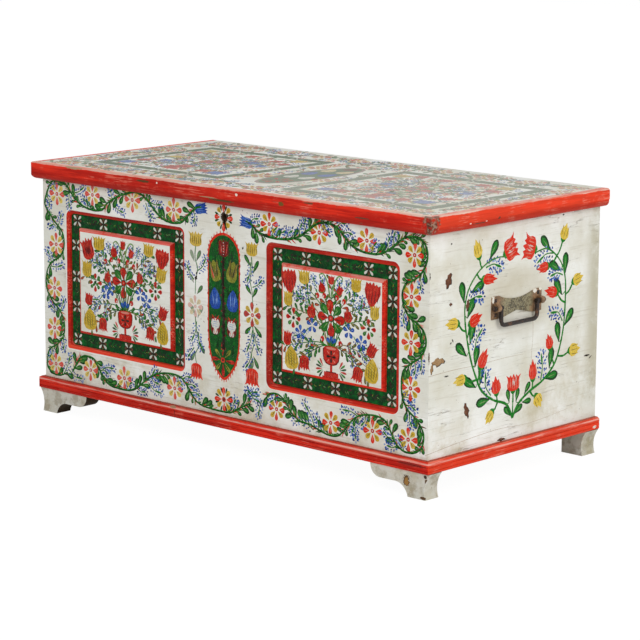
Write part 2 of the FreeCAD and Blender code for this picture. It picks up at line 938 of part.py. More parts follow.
def lug_span():
    """Inner and outer face of a lug, from the handle's middle."""
    inner = bail_half_width + bail_stub + lug_gap
    outer = handle_half_length - bail_knob_length - lug_knob_gap
    return inner, outer


def handle_lug(side):
    """Raised eye that holds one end of the bail."""
    inner, outer = lug_span()
    y0 = handle_y + min(side * inner, side * outer)
    y1 = y0 + outer - inner
    pivot_x = half + bail_pivot_out
    stem = box(half, pivot_x, y0, y1, handle_z - lug_radius, handle_z + lug_radius)
    return stem.fuse(rod_y(y0, y1, pivot_x, handle_z, lug_radius))


def handle_plate():
    plate = prism(handle_outline(at_x(half)), handle_plate_thick, 0, 0)
    for side in (-1, 1):
        plate = plate.fuse(handle_lug(side))
    bore = rod_y(handle_y - handle_half_length, handle_y + handle_half_length,
                 half + bail_pivot_out, handle_z, bail_radius + bail_fit)
    plate = plate.cut(bore).cut(Part.makeCompound(handle_nails()))
    return plate.removeSplitter()


def bar_end(y, z, along):
    """The bail bar's section at (y, z)."""
    return eight_flats(FreeCAD.Vector(half + bail_pivot_out, y, z), along, RIGHT, bail_radius)


def bent(wire, centre, axis):
    """A quarter bend of the bar, hammered round in short flats."""
    rings = []
    for step in range(bail_bend_steps + 1):
        section = wire.copy()
        section.rotate(centre, axis, 90 * step / bail_bend_steps)
        rings.append([vertex.Point for vertex in section.OrderedVertexes])
    faces = [Part.Face(Part.makePolygon(ring + ring[:1])) for ring in (rings[0], rings[-1])]
    for near, far in zip(rings, rings[1:]):
        for a, b, c, d in zip(near, near[1:] + near[:1], far[1:] + far[:1], far):
            faces.append(Part.Face(Part.makePolygon([a, b, c, d, a])))
    bend = Part.makeSolid(Part.makeShell(faces))
    if bend.Volume < 0:
        bend.reverse()
    return bend


def bail_end(side):
    """One arm with its bend below, and above it a round journal with an upset knob."""
    outward = BACK * side
    low = handle_z - bail_drop
    arm_y = handle_y + side * bail_half_width
    centre = FreeCAD.Vector(half + bail_pivot_out, arm_y - side * bail_corner, low + bail_corner)
    arm_foot = bar_end(arm_y, low + bail_corner, UP)
    corner = bent(arm_foot.OuterWire, centre, RIGHT * -side)
    arm = arm_foot.extrude(UP * (bail_drop - bail_corner + bail_radius))
    stub_end = bar_end(arm_y - side * bail_radius, handle_z, outward)
    stub = stub_end.extrude(outward * (bail_radius + bail_stub))
    stub_end = FreeCAD.Vector(half + bail_pivot_out, arm_y + side * bail_stub, handle_z)
    knob_foot = FreeCAD.Vector(half + bail_pivot_out,
                               handle_y + side * (handle_half_length - bail_knob_length), handle_z)
    journal = Part.makeCylinder(bail_radius, (knob_foot - stub_end).Length, stub_end, outward)
    knob = eight_flats(knob_foot, outward, UP, bail_knob_radius).extrude(outward * bail_knob_length)
    return corner.fuse([arm, stub, journal, knob])


def bail():
    """Forged bar bent to a loop that hangs in the two lugs."""
    reach = bail_half_width - bail_corner
    bar = bar_end(handle_y - reach, handle_z - bail_drop, BACK).extrude(BACK * (2 * reach))
    return bar.fuse([bail_end(-1), bail_end(1)]).removeSplitter()


# Till

def till_wall_board():
    return box(till_inner_x, till_inner_x + till_wall, inner_front - till_groove,
               inner_back + till_groove, till_low, till_top)


def till_floor():
    return box(-inner_half, till_inner_x, inner_front - till_groove, inner_back + till_groove,
               till_low, till_low + till_floor_thick)


def till_lid():
    """Thin lid that turns on a peg at each end."""
    low = till_top + till_lid_seat_gap
    y0 = inner_front + till_lid_end_gap
    y1 = inner_back - till_lid_end_gap
    board = box(-inner_half + till_lid_back_gap, till_inner_x + till_wall + till_lid_lip,
                y0, y1, low, low + till_lid_thick)
    pegs = rod_y(y0 - till_peg_length, y1 + till_peg_length, -inner_half + till_pivot_in,
                 till_pivot_z(), till_peg_radius)
    return board.fuse(pegs)


# Every piece by the name of its node

def chest():
    front_base, right_base, left_base = base_mouldings()
    front_rim, right_rim, left_rim = lid_mouldings()
    first_plank, second_plank, third_plank = bottom_planks()
    first_lid, second_lid, third_lid = lid_boards()
    back = back_board()
    right = side_board().cut(Part.makeCompound(bottom_nails() + handle_nails()))
    left = to_left(side_board()).cut(Part.makeCompound(bottom_nails() + handle_nails()))
    side_joint = carcass_low + side_lower_share * wall_height
    back_joint = carcass_low + tail_pitch * (tail_count + 1) / 2
    pieces = {
        "front_board": front_board(),
        "left_front_panel": front_panel("left"),
        "right_front_panel": front_panel("right"),
        "back_board_lower": below(back, back_joint),
        "back_board_upper": above(back, back_joint),
        "right_side_lower": below(right, side_joint),
        "right_side_upper": above(right, side_joint),
        "left_side_lower": below(left, side_joint),
        "left_side_upper": above(left, side_joint),
        "bottom_plank_front": first_plank,
        "bottom_plank_middle": second_plank,
        "bottom_plank_back": third_plank,
        "bottom_nails": bottom_nails(),
        "base_moulding_front": front_base,
        "base_moulding_right": right_base,
        "base_moulding_left": left_base,
        "foot_front_right": front_foot(),
        "foot_front_left": to_left(front_foot()),
        "foot_back_right": back_foot(),
        "foot_back_left": to_left(back_foot()),
        "lid_board_front": first_lid,
        "lid_board_middle": second_lid,
        "lid_board_back": third_lid,
        "lid_moulding_front": front_rim,
        "lid_moulding_right": right_rim,
        "lid_moulding_left": left_rim,
        "hinge_leaf_nails": hinge_leaf_nails(),
        "hinge_strap_nails": hinge_strap_nails(),
        "lock_plate": lock_plate(),
        "lock_case": lock_case(),
        "lock_bolt": lock_bolt(),
        "lock_key_post": lock_key_post(),
        "lock_spring": lock_spring(),
        "lock_nails": lock_nails(),
        "lid_staple": lid_staple(),
        "staple_nails": staple_nails(),
        "handle_plate_right": handle_plate(),
        "handle_plate_left": to_left(handle_plate()),
        "bail_right": bail(),
        "bail_left": to_left(bail()),
        "handle_nails": handle_nails(),
        "till_wall": till_wall_board(),
        "till_floor": till_floor(),
        "till_lid": till_lid(),
    }
    leaf_holes = Part.makeCompound(hinge_leaf_nails())
    strap_holes = Part.makeCompound(hinge_strap_nails())
    staple_holes = Part.makeCompound(staple_nails())
    pieces["lid_staple"] = pieces["lid_staple"].cut(staple_holes)
    for side, x in (("left", -hinge_offset), ("right", hinge_offset)):
        pieces["hinge_leaf_" + side] = moved(hinge_leaf(), x).cut(leaf_holes)
        pieces["hinge_strap_" + side] = moved(hinge_strap(), x).cut(strap_holes)
        pieces["hinge_pin_" + side] = moved(hinge_pin(), x)
    return pieces


def write(name, shape):
    """One file for a piece, or for a group of like pieces."""
    if isinstance(shape, list):
        shape = Part.makeCompound(shape)
    solids = shape.Solids
    if len(solids) == 1:
        shape = solids[0]
    shape.exportStep(os.path.join("parts", name + ".step"))


os.makedirs("parts", exist_ok=True)
for piece_name, piece_shape in chest().items():
    write(piece_name, piece_shape)
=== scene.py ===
import math
import random
import bpy
from mathutils import Matrix, Vector


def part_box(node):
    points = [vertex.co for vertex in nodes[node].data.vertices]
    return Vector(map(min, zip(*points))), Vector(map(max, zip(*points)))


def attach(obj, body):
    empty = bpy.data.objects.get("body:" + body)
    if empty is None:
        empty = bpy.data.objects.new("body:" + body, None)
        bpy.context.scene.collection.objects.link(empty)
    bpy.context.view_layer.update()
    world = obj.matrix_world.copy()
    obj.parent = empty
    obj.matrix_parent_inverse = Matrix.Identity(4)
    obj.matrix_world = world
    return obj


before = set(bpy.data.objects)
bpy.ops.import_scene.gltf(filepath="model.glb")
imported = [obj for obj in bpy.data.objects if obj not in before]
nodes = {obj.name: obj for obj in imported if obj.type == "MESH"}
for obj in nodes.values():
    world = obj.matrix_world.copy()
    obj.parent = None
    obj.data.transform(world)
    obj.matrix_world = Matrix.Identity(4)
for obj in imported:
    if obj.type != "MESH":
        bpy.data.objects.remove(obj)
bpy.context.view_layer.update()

# Camera
# A long lens at the photograph's angle. Its place, turn, dip and roll were set from the
# chest's straight edges.
camera_place = Vector((3.9426, -4.1918, 1.3745))
camera_turn = math.radians(43.02)
camera_dip = math.radians(10.95)
camera_roll = math.radians(0.266)
ahead = Vector((-math.sin(camera_turn) * math.cos(camera_dip),
                math.cos(camera_turn) * math.cos(camera_dip), -math.sin(camera_dip)))
rightward = Vector((math.cos(camera_turn), math.sin(camera_turn), 0))
upward = rightward.cross(ahead)
camera_axes = Matrix((rightward, upward, -ahead)).transposed() @ Matrix.Rotation(camera_roll, 3, "Z")
camera_data = bpy.data.cameras.new("camera")
camera_data.lens = 143.66
camera_data.sensor_width = 36
camera_data.clip_end = 100
camera = bpy.data.objects.new("camera", camera_data)
camera.matrix_world = Matrix.Translation(camera_place) @ camera_axes.to_4x4()
bpy.context.scene.collection.objects.link(camera)
bpy.context.scene.camera = camera


# Carcass and lid boards
# Pine boards, dovetailed at the corners: worn white oil paint outside, bare planed pine
# inside. The paint shows brush streaks along the board, hairline cracks, grime and chips.
def plug(tree, node, values):
    """Sets a node's inputs by name or number: a socket is linked, a value is set."""
    for name, value in values.items():
        if isinstance(value, bpy.types.NodeSocket):
            tree.links.new(value, node.inputs[name])
        else:
            node.inputs[name].default_value = value


def add(tree, kind, inputs=None, **settings):
    made = tree.nodes.new(kind)
    for name, value in settings.items():
        setattr(made, name, value)
    plug(tree, made, inputs or {})
    return made


def calc(tree, operation, first, second=0.0):
    return add(tree, "ShaderNodeMath", {0: first, 1: second}, operation=operation).outputs[0]


def opaque(colour):
    return (*colour, 1.0) if isinstance(colour, tuple) else colour


class Finish:
    """A finish being mixed. Its colour is laid on in coats, and its patterns follow the grain."""

    stretches = {"x": (0.05, 1, 1), "y": (1, 0.05, 1)}

    def __init__(self, name, grain=None):
        self.material = bpy.data.materials.new(name)
        self.material.use_nodes = True
        self.tree = self.material.node_tree
        self.shader = self.tree.nodes["Principled BSDF"]
        self.place = self.coordinates((1, 1, 1))
        self.along = self.coordinates(self.stretches[grain]) if grain else self.place

    def coordinates(self, stretch):
        """Object coordinates, closer together along the axes with a larger stretch."""
        return self.vector("MULTIPLY", add(self.tree, "ShaderNodeTexCoord").outputs["Object"], stretch)

    def vector(self, operation, first, second):
        inputs = {0: first, 1: second}
        return add(self.tree, "ShaderNodeVectorMath", inputs, operation=operation).outputs[0]

    def axis(self, number):
        return add(self.tree, "ShaderNodeSeparateXYZ", {0: self.place}).outputs[number]

    def distance(self, middle, halves):
        """0 at the middle and 1 at the ends of the half sizes round it."""
        offset = self.vector("DIVIDE", self.vector("SUBTRACT", self.place, middle), halves)
        return add(self.tree, "ShaderNodeVectorMath", {0: offset}, operation="LENGTH").outputs["Value"]

    def noise(self, scale, detail=4.0, roughness=0.6, vector=None):
        inputs = {"Vector": vector or self.place, "Scale": scale, "Detail": detail, "Roughness": roughness}
        return add(self.tree, "ShaderNodeTexNoise", inputs).outputs["Fac"]

    def streaks(self, scale, detail=4.0, roughness=0.6):
        return self.noise(scale, detail, roughness, self.along)

    def calc(self, operation, first, second=0.0):
        return calc(self.tree, operation, first, second)

    def times(self, *values):
        product = values[-1]
        for value in reversed(values[:-1]):
            product = self.calc("MULTIPLY", value, product)
        return product

    def plus(self, first, second):
        return self.calc("ADD", first, second)

    def minus(self, first, second):
        return self.calc("SUBTRACT", first, second)

    def away(self, value, middle):
        return self.calc("ABSOLUTE", self.minus(value, middle))

    def rise(self, value, low, high):
        """0 below low and 1 above high."""
        inputs = {"Value": value, "From Min": low, "From Max": high}
        return add(self.tree, "ShaderNodeMapRange", inputs, interpolation_type="SMOOTHSTEP").outputs[0]

    def between(self, value, start, end):
        return self.times(self.rise(value, *start), self.rise(value, *end))

    def mix(self, factor, below, above):
        """Colour above laid over colour below, as far as factor says."""
        inputs = {0: factor, 6: opaque(below), 7: opaque(above)}
        return add(self.tree, "ShaderNodeMix", inputs, data_type="RGBA").outputs[2]

    def ground(self, factor, below, above):
        self.colour = self.mix(factor, below, above)

    def coat(self, tint, *factors):
        """Lays a tint over the colour so far, as far as the product of the factors says."""
        self.colour = self.mix(self.times(*factors), self.colour, tint)

    def chip(self, spots):
        """Chips and knots at chosen places: each has its middle, its half sizes and its tint."""
        ragged = self.times(self.noise(150.0, 5.0, 0.75), 2.0)
        for middle, halves, tint in spots:
            self.coat(tint, self.rise(self.plus(self.distance(middle, halves), ragged), 2.04, 1.90))

    def done(self, roughness, specular=None, relief=None, depth=0.0, strength=1.0, metallic=None):
        values = {"Base Color": self.colour, "Roughness": roughness, "Specular IOR Level": specular,
                  "Metallic": metallic}
        if relief is not None:
            bump = {"Height": relief, "Distance": depth, "Strength": strength}
            values["Normal"] = add(self.tree, "ShaderNodeBump", bump).outputs[0]
        plug(self.tree, self.shader, {name: value for name, value in values.items() if value is not None})
        return self.material


def white_paint(name, grain):
    """Old white oil paint, brushed along the board."""
    brown, tan, soot = (0.11, 0.060, 0.028), (0.36, 0.19, 0.055), (0.05, 0.035, 0.025)
    chipped = [((0.5496, -0.2892, 0.034), (0.009, 0.006, 0.013), brown),
               ((0.5500, -0.2892, 0.033), (0.006, 0.006, 0.009), tan),
               ((0.6035, -0.2892, 0.040), (0.0035, 0.004, 0.007), brown),
               ((0.6035, -0.2892, 0.020), (0.0030, 0.004, 0.009), brown),
               ((0.6015, -0.2892, 0.050), (0.0045, 0.004, 0.004), soot),
               ((0.597, -0.2892, 0.004), (0.009, 0.004, 0.003), brown),
               ((0.602, -0.2812, 0.300), (0.0035, 0.0035, 0.016), brown),
               ((0.602, -0.2812, 0.470), (0.003, 0.003, 0.010), soot),
               ((0.005, -0.2812, 0.530), (0.0115, 0.006, 0.0125), soot),
               ((0.005, -0.2812, 0.516), (0.0065, 0.006, 0.0100), brown)]
    paint = Finish(name, grain)
    brush_lines = paint.streaks(140.0, 6.0, 0.7)
    paint.ground(paint.rise(paint.noise(5.0, 6.0), 0.35, 0.7), (0.77, 0.77, 0.69), (0.94, 0.95, 0.915))
    paint.coat((0.50, 0.46, 0.36), paint.rise(brush_lines, 0.52, 0.75), 0.55)
    paint.coat((0.34, 0.31, 0.25), paint.rise(paint.streaks(420.0, 3.0), 0.6, 0.8), 0.35)
    height = paint.axis(2)
    on_feet = paint.rise(height, 0.075, 0.045)
    smudges = paint.noise(9.0, 8.0, 0.7)
    low_down = paint.plus(0.22, paint.times(paint.rise(height, 0.30, 0.06), 0.42))
    paint.coat((0.46, 0.38, 0.19), paint.rise(smudges, 0.42, 0.66), low_down)
    paint.coat((0.42, 0.40, 0.33), on_feet, 0.42)
    paint.coat((0.27, 0.215, 0.125), on_feet, paint.rise(paint.noise(34.0, 7.0, 0.7), 0.47, 0.62), 0.55)
    crack = paint.away(paint.streaks(36.0, 5.0, 0.55), 0.5)
    cracked = paint.times(paint.rise(crack, 0.0045, 0.001), paint.rise(paint.noise(11.0, 2.0), 0.5, 0.62))
    paint.coat((0.16, 0.12, 0.08), cracked, 0.5)
    paint.coat((0.17, 0.09, 0.05), paint.rise(paint.noise(160.0, 2.0, 0.5), 0.735, 0.76))
    paint.coat((0.56, 0.51, 0.34), paint.rise(paint.noise(3.2, 5.0), 0.50, 0.66), 0.30)
    from_handle = paint.distance((0.60, 0.0, 0.385), (0.05, 0.125, 0.075))
    halo = paint.rise(paint.plus(from_handle, paint.times(smudges, 0.5)), 1.55, 0.95)
    paint.coat((0.46, 0.38, 0.22), halo, 0.34)
    if grain == "y":
        back_edge = paint.rise(paint.axis(1), 0.235, 0.278)
        paint.coat((0.40, 0.36, 0.22), back_edge, paint.rise(smudges, 0.36, 0.60), 0.55)
    paint.chip(chipped)
    return paint.done(0.56, 0.08, paint.minus(paint.times(brush_lines, 0.6), cracked), 0.0009, 0.6)


def bare_pine(name, grain, tone, shift=0.0):
    """Planed pine that has darkened with age. The shift gives each board its own figure."""
    light, dark, pore = (tuple(tone * part for part in colour) for colour in
                         ((0.40, 0.26, 0.135), (0.22, 0.125, 0.06), (0.12, 0.07, 0.035)))
    pine = Finish(name, grain)
    figure = pine.coordinates((0.02, 1, 1) if grain == "x" else (1, 0.02, 1))
    figure = pine.vector("ADD", figure, (shift, shift, shift))
    rings = pine.calc("FRACT", pine.times(pine.noise(20.0, 2.0, 0.45, figure), 9.0))
    pores = pine.streaks(700.0, 2.0)
    pine.ground(pine.times(pine.rise(rings, 0.3, 1.0), 0.5), light, dark)
    pine.coat(dark, pine.rise(pine.noise(6.0, 5.0), 0.45, 0.68), 0.4)
    pine.coat(pore, pine.rise(pores, 0.5, 0.8), 0.5)
    return pine.done(0.7, 0.08, pores, 0.0006, 0.5)


def paint_faces(node, finishes, pick):
    """Gives a node its finishes, and each of its faces the one that pick names."""
    mesh = nodes[node].data
    mesh.materials.clear()
    for finish in finishes.values():
        mesh.materials.append(finish)
    names = list(finishes)
    for face in mesh.polygons:
        face.material_index = names.index(pick(face.center, face.normal))


white_x = white_paint("white_paint_lengthwise", "x")
white_y = white_paint("white_paint_on_sides", "y")
board_tones = (1.0, 0.80, 0.90)
pine_boards = {}
for grain, way in (("x", "lengthwise"), ("y", "crosswise")):
    for number, tone in enumerate(board_tones):
        pine_boards[grain, number] = bare_pine(f"bare_pine_{way}_{number + 1}", grain, tone, 7.3 * number)
# Sawn pine laid nearly black: painted shade in the feet's sawn coves and in the keyhole.
shade_darkened_pine = bare_pine("sawn_pine_darkened_as_shade", "y", 0.13)

front_low, front_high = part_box("front_board")
front_face = front_low.y
side_face = front_high.x
lid_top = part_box("lid_board_front")[1].z
skin = 0.0001


def red_paint(name, grain, dark=0.0, pale=0.0, spots=(), on_lip=False):
    """Worn red oil paint on the mouldings, rubbed pale and brown along the edges, with painted highlights and
    painted shade laid in.
    """
    paint = Finish(name, grain)
    brush_lines = paint.streaks(110.0, 6.0, 0.7)
    fine = paint.streaks(380.0)
    patches = paint.noise(16.0, 6.0, 0.65)
    paint.ground(paint.rise(brush_lines, 0.38, 0.60), (0.50, 0.014, 0.007), (0.80, 0.034, 0.014))
    paint.coat((0.38, 0.013, 0.008), paint.rise(paint.streaks(24.0), 0.46, 0.62), 0.6)
    paint.coat((0.17, 0.012, 0.008), paint.rise(fine, 0.57, 0.70), 0.6)
    # Mouldings along the ends are laid a brighter red than those on the front: a painted highlight.
    paint.coat((0.99, 0.095, 0.030), 0.42 if grain == "y" else 0.0)
    # As far as dark says, the whole finish is darkened: on the window lips this is painted shade.
    paint.coat((0.26, 0.012, 0.009), dark)
    paint.coat((0.86, 0.24, 0.16), paint.rise(fine, 0.50, 0.40), paint.rise(patches, 0.48, 0.62), 0.5 + pale)
    height = paint.axis(2)
    ragged_edge = paint.times(paint.minus(patches, 0.5), 0.007)
    from_top = paint.minus(lid_top, paint.plus(height, ragged_edge))
    # The lid moulding's top edge is laid pale: partly rubbed paint, partly a painted highlight along its
    # rounded arris.
    worn_and_highlit_top = paint.mix(paint.rise(brush_lines, 0.42, 0.6), (0.82, 0.28, 0.20), (0.80, 0.70, 0.58))
    paint.coat(worn_and_highlit_top, paint.rise(from_top, 0.0036, 0.0018), 0.75)
    # The lower part of the lid moulding is darkened: painted shade.
    lid_moulding_low_shade = paint.times(paint.rise(from_top, 0.021, 0.031), paint.rise(height, 0.50, 0.51))
    paint.coat((0.28, 0.012, 0.008), lid_moulding_low_shade, 0.55)
    # A pink band on the base moulding's upper part and a pale line along its bead are painted highlights.
    base_highlight = paint.between(height, (0.0725, 0.078), (0.12, 0.10))
    paint.coat((0.86, 0.20, 0.13), base_highlight, paint.rise(brush_lines, 0.50, 0.40), 0.7)
    bead_highlight = paint.between(height, (0.0762, 0.0776), (0.0812, 0.0798))
    paint.coat((0.93, 0.50, 0.42), bead_highlight, paint.rise(brush_lines, 0.60, 0.44), 0.75)
    seam = paint.between(height, (0.0826, 0.0836), (0.12, 0.10))
    paint.coat((0.14, 0.045, 0.022), seam, 0.6)
    chips = paint.times(paint.rise(paint.streaks(60.0, 5.0), 0.64, 0.67), paint.rise(patches, 0.50, 0.58))
    paint.coat((0.13, 0.062, 0.03), chips)
    corner = paint.plus(paint.distance((0.620, -0.300, 0.578), (1, 1, 1 / 0.15)),
                        paint.times(paint.noise(110.0, 5.0, 0.75), 0.06))
    reach = paint.plus(corner, paint.times(from_top, 0.18))
    bruise = paint.mix(paint.rise(paint.noise(150.0), 0.46, 0.60), (0.09, 0.036, 0.022), (0.34, 0.20, 0.14))
    paint.coat((0.30, 0.018, 0.013), paint.rise(reach, 0.058, 0.044), 0.55)
    paint.coat(bruise, paint.rise(reach, 0.058, 0.048), paint.rise(paint.noise(75.0, 5.0, 0.7), 0.42, 0.56))
    paint.chip(spots)
    if on_lip:
        x, y, z = (paint.axis(number) for number in range(3))
        # Painted shade and light on the window lips: the upper lip darker, the lower lip brighter red, and
        # the right window's left lip darker.
        paint.coat((0.20, 0.012, 0.009), paint.rise(z, 0.484, 0.490), 0.5)
        paint.coat((0.95, 0.085, 0.035), paint.rise(z, 0.174, 0.168), 0.6)
        shaded_upright = paint.between(x, (0.08, 0.12), (0.145, 0.140))
        paint.coat((0.22, 0.018, 0.013), shaded_upright, paint.rise(z, 0.168, 0.174), 0.45)
        inward = paint.plus(paint.minus(y, front_face), paint.times(paint.minus(patches, 0.5), 0.0004))
        limit = paint.minus(0.00055, paint.times(paint.rise(x, -0.05, 0.05), 0.00038))
        paint.coat((0.84, 0.84, 0.78), paint.rise(paint.minus(inward, limit), 0.00005, -0.00005))
    return paint.done(0.45, 0.06, paint.minus(paint.times(brush_lines, 0.6), chips), 0.0009, 0.7)


knot, smear, chip, wood = (0.10, 0.055, 0.02), (0.84, 0.72, 0.62), (0.15, 0.05, 0.03), (0.45, 0.29, 0.17)
red_x = red_paint("red_paint_lengthwise", "x", spots=[
    ((0.063, -0.302, 0.5875), (0.0034, 0.02, 0.0030), smear),
    ((0.197, -0.302, 0.582), (0.0075, 0.02, 0.0048), (0.17, 0.085, 0.02)),
    ((0.565, -0.294, 0.0725), (0.038, 0.02, 0.0040), (0.30, 0.025, 0.018)),
    ((-0.150, -0.294, 0.0805), (0.010, 0.02, 0.0026), (0.42, 0.24, 0.14)),
    ((-0.1436, -0.294, 0.0680), (0.0010, 0.02, 0.0075), (0.16, 0.02, 0.012)),
    ((0.015, -0.302, 0.5700), (0.040, 0.02, 0.0022), knot),
    ((-0.025, -0.302, 0.5735), (0.030, 0.02, 0.0014), wood),
    ((-0.470, -0.302, 0.5965), (0.028, 0.02, 0.0030), wood),
    ((-0.233, -0.302, 0.5890), (0.022, 0.02, 0.0026), knot),
    ((-0.188, -0.302, 0.5895), (0.0022, 0.02, 0.0020), smear),
    ((0.430, -0.302, 0.5760), (0.020, 0.02, 0.0016), chip)])
red_y = red_paint("red_paint_on_sides", "y", 0.0, 0.3, spots=[
    ((0.622, -0.147, 0.5698), (0.02, 0.024, 0.0013), chip),
    ((0.622, -0.178, 0.5716), (0.02, 0.003, 0.0013), smear),
    ((0.622, -0.127, 0.5716), (0.02, 0.003, 0.0012), smear),
    ((0.622, -0.086, 0.5745), (0.02, 0.004, 0.003), chip),
    ((0.613, 0.274, 0.0640), (0.02, 0.007, 0.0030), smear)])
# The window lips' red is darkened as painted shade.
red_lip = red_paint("red_paint_on_lips", "x", 0.25, on_lip=True)
red_edge = red_paint("red_paint_on_field_edges", "x", 0.0, 0.35)


def rubbed_top(name, grain, pink, red=0.0):
    """Red paint rubbed through to its white ground where hands rest on it."""
    paint = Finish(name, grain)
    brush_lines = paint.rise(paint.streaks(120.0, 6.0, 0.7), 0.40, 0.62)
    paint.ground(brush_lines, (0.84, 0.30 - pink * 0.08, 0.20), (0.84, 0.72, 0.60))
    paint.coat((0.74, 0.15, 0.10), paint.rise(paint.noise(60.0, 5.0, 0.7), 0.50, 0.62), pink)
    paint.coat((0.74, 0.05, 0.025), red)
    return paint.done(0.5, 0.06)


rubbed_x = rubbed_top("rubbed_red_lengthwise", "x", 0.2)
rubbed_y = rubbed_top("rubbed_red_on_sides", "y", 0.7)
# On the fields' upward edges the rubbed red is paler partly from wear and partly as a painted highlight.
rubbed_and_highlit_edge = rubbed_top("rubbed_and_highlit_red_on_field_edges", "x", 1.0, 0.6)
rubbed_left = rubbed_top("rubbed_red_at_left_end", "y", 1.0, 0.8)

# The two sunk windows: the panels' edges lie a lap behind the red lip of the front board.
MM = 0.001
panel_lap = 10 * MM
lip_depth = 9.2 * MM
window_bounds = {}
for panel in ("left_front_panel", "right_front_panel"):
    low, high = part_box(panel)
    window_bounds[panel] = (low.x + panel_lap, high.x - panel_lap, low.z + panel_lap, high.z - panel_lap)


def front_finish(centre, normal):
    if abs(centre.x) > side_face - skin:
        return "sides"
    if centre.y < front_face + skin:
        return "front"
    for x0, x1, z0, z1 in window_bounds.values():
        reach = 3 * panel_lap
        near = x0 - reach < centre.x < x1 + reach and z0 - reach < centre.z < z1 + reach
        if near and centre.y < front_face + lip_depth:
            return "lip"
    # The keyhole's walls take the near-black pine: painted shade in the hole.
    at_keyhole = abs(centre.x - 5 * MM) < 9 * MM and 505 * MM < centre.z < 545 * MM
    return "hole" if at_keyhole else "bare"


paint_faces("front_board", {"front": white_x, "sides": white_y, "lip": red_lip,
                            "bare": pine_boards["x", 0], "hole": shade_darkened_pine}, front_finish)

for node in ("right_side_lower", "right_side_upper", "left_side_lower", "left_side_upper"):
    board = pine_boards["y", int(node.endswith("lower"))]
    paint_faces(node, {"outside": white_y, "front": white_x, "bare": board},
                lambda centre, normal: "outside" if abs(centre.x) > side_face - skin
                else "front" if centre.y < front_face + skin else "bare")

for number, node in enumerate(("back_board_upper", "back_board_lower")):
    paint_faces(node, {"ends": white_y, "bare": pine_boards["x", number]},
                lambda centre, normal: "ends" if abs(centre.x) > side_face - skin else "bare")

for number, place in enumerate(("front", "middle", "back")):
    paint_faces(f"bottom_plank_{place}", {"bare": pine_boards["x", number]}, lambda centre, normal: "bare")
    paint_faces(f"lid_board_{place}", {"top": white_x, "bare": pine_boards["x", number]},
                lambda centre, normal: "top" if centre.z > lid_top - skin else "bare")


# Fielded panels
# Pine panels held from behind in the front board's rebates. Each is green on its sunk
# margin, red on its moulded edge and white on its raised field.
def green_paint(name):
    """Dark green oil paint, brushed unevenly over a lighter green."""
    paint = Finish(name)
    dabs = paint.noise(70.0, 5.0, 0.65)
    paint.ground(paint.rise(dabs, 0.42, 0.66), (0.006, 0.045, 0.014), (0.007, 0.14, 0.022))
    paint.coat((0.008, 0.033, 0.014), paint.rise(paint.noise(14.0, 3.0), 0.45, 0.65), 0.5)
    paint.coat((0.30, 0.38, 0.27), paint.rise(paint.noise(240.0, 3.0), 0.72, 0.78), 0.6)
    return paint.done(0.48, 0.04, dabs, 0.0007, 0.6)


green_margin = green_paint("green_paint")
margin_face = front_face + 9 * MM
facing_up = 0.2
# Upward faces of each field's edge take the paler rubbed red: wear and a painted highlight.
for panel in window_bounds:
    field_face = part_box(panel)[0].y
    paint_faces(panel, {"field": white_x, "edge": red_edge, "upper": rubbed_and_highlit_edge, "margin": green_margin,
                        "bare": pine_boards["x", 0]},
                lambda centre, normal: "field" if centre.y < field_face + skin
                else ("upper" if normal.z > facing_up else "edge") if centre.y < margin_face - skin
                else "margin" if centre.y < margin_face + skin and normal.y < 0 else "bare")

# Mouldings and feet
# Red painted pine mouldings, mitred at the front corners, and sawn bracket feet painted white on their faces,
# with bare wood behind and in the sawn coves, where it is laid nearly black as painted shade.
facing_straight_up = 0.99
for place in ("base", "lid"):
    for side, red, worn in (("front", red_x, rubbed_x), ("right", red_y, rubbed_y),
                            ("left", red_y, rubbed_left)):
        paint_faces(f"{place}_moulding_{side}", {"red": red, "top": worn},
                    lambda centre, normal: "top" if centre.z > lid_top - skin
                    and normal.z > facing_straight_up else "red")

foot_side = 590 * MM
for node in ("foot_front_right", "foot_front_left", "foot_back_right", "foot_back_left"):
    foot_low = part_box(node)[0]
    outer_side = 1 if foot_low.x > 0 else -1
    foot_front = foot_low.y
    paint_faces(node, {"face": white_x, "side": white_y, "bare": shade_darkened_pine, "back": pine_boards["x", 1]},
                lambda centre, normal: "face" if centre.y < foot_front + skin
                else "side" if normal.x * outer_side > 0.1 and abs(centre.x) > foot_side
                else "back" if normal.y > 0.9 else "bare")


# Iron
# Hand-forged straps, nails, lock and bails, nailed to the boards. They are dark, with rust
# in patches.
def forged_iron(name, rust):
    metal = Finish(name)
    patches = metal.noise(60.0, 8.0, 0.7)
    grit = metal.noise(500.0, 4.0, 0.7)
    rusted = metal.rise(patches, 0.62 - rust, 0.72 - rust)
    metal.ground(rusted, (0.035, 0.03, 0.028), (0.13, 0.058, 0.03))
    metal.coat((0.24, 0.12, 0.07), metal.rise(grit, 0.55, 0.7), 0.5)
    return metal.done(metal.plus(0.45, metal.times(rusted, 0.35)), None,
                      metal.plus(patches, metal.times(grit, 0.4)), 0.0012, 0.8,
                      metal.minus(0.75, metal.times(rusted, 0.6)))


iron = forged_iron("forged_iron", 0.0)
rusty_iron = forged_iron("rusty_iron", 0.08)
for node in ("bottom_nails", "hinge_leaf_left", "hinge_leaf_right", "hinge_strap_left", "hinge_strap_right",
             "hinge_pin_left", "hinge_pin_right", "hinge_leaf_nails", "hinge_strap_nails", "lock_plate",
             "lock_case", "lock_bolt", "lock_key_post", "lock_spring", "lock_nails", "lid_staple",
             "staple_nails"):
    paint_faces(node, {"iron": iron}, lambda centre, normal: "iron")
for node in ("bail_right", "bail_left", "handle_nails"):
    paint_faces(node, {"iron": rusty_iron}, lambda centre, normal: "iron")


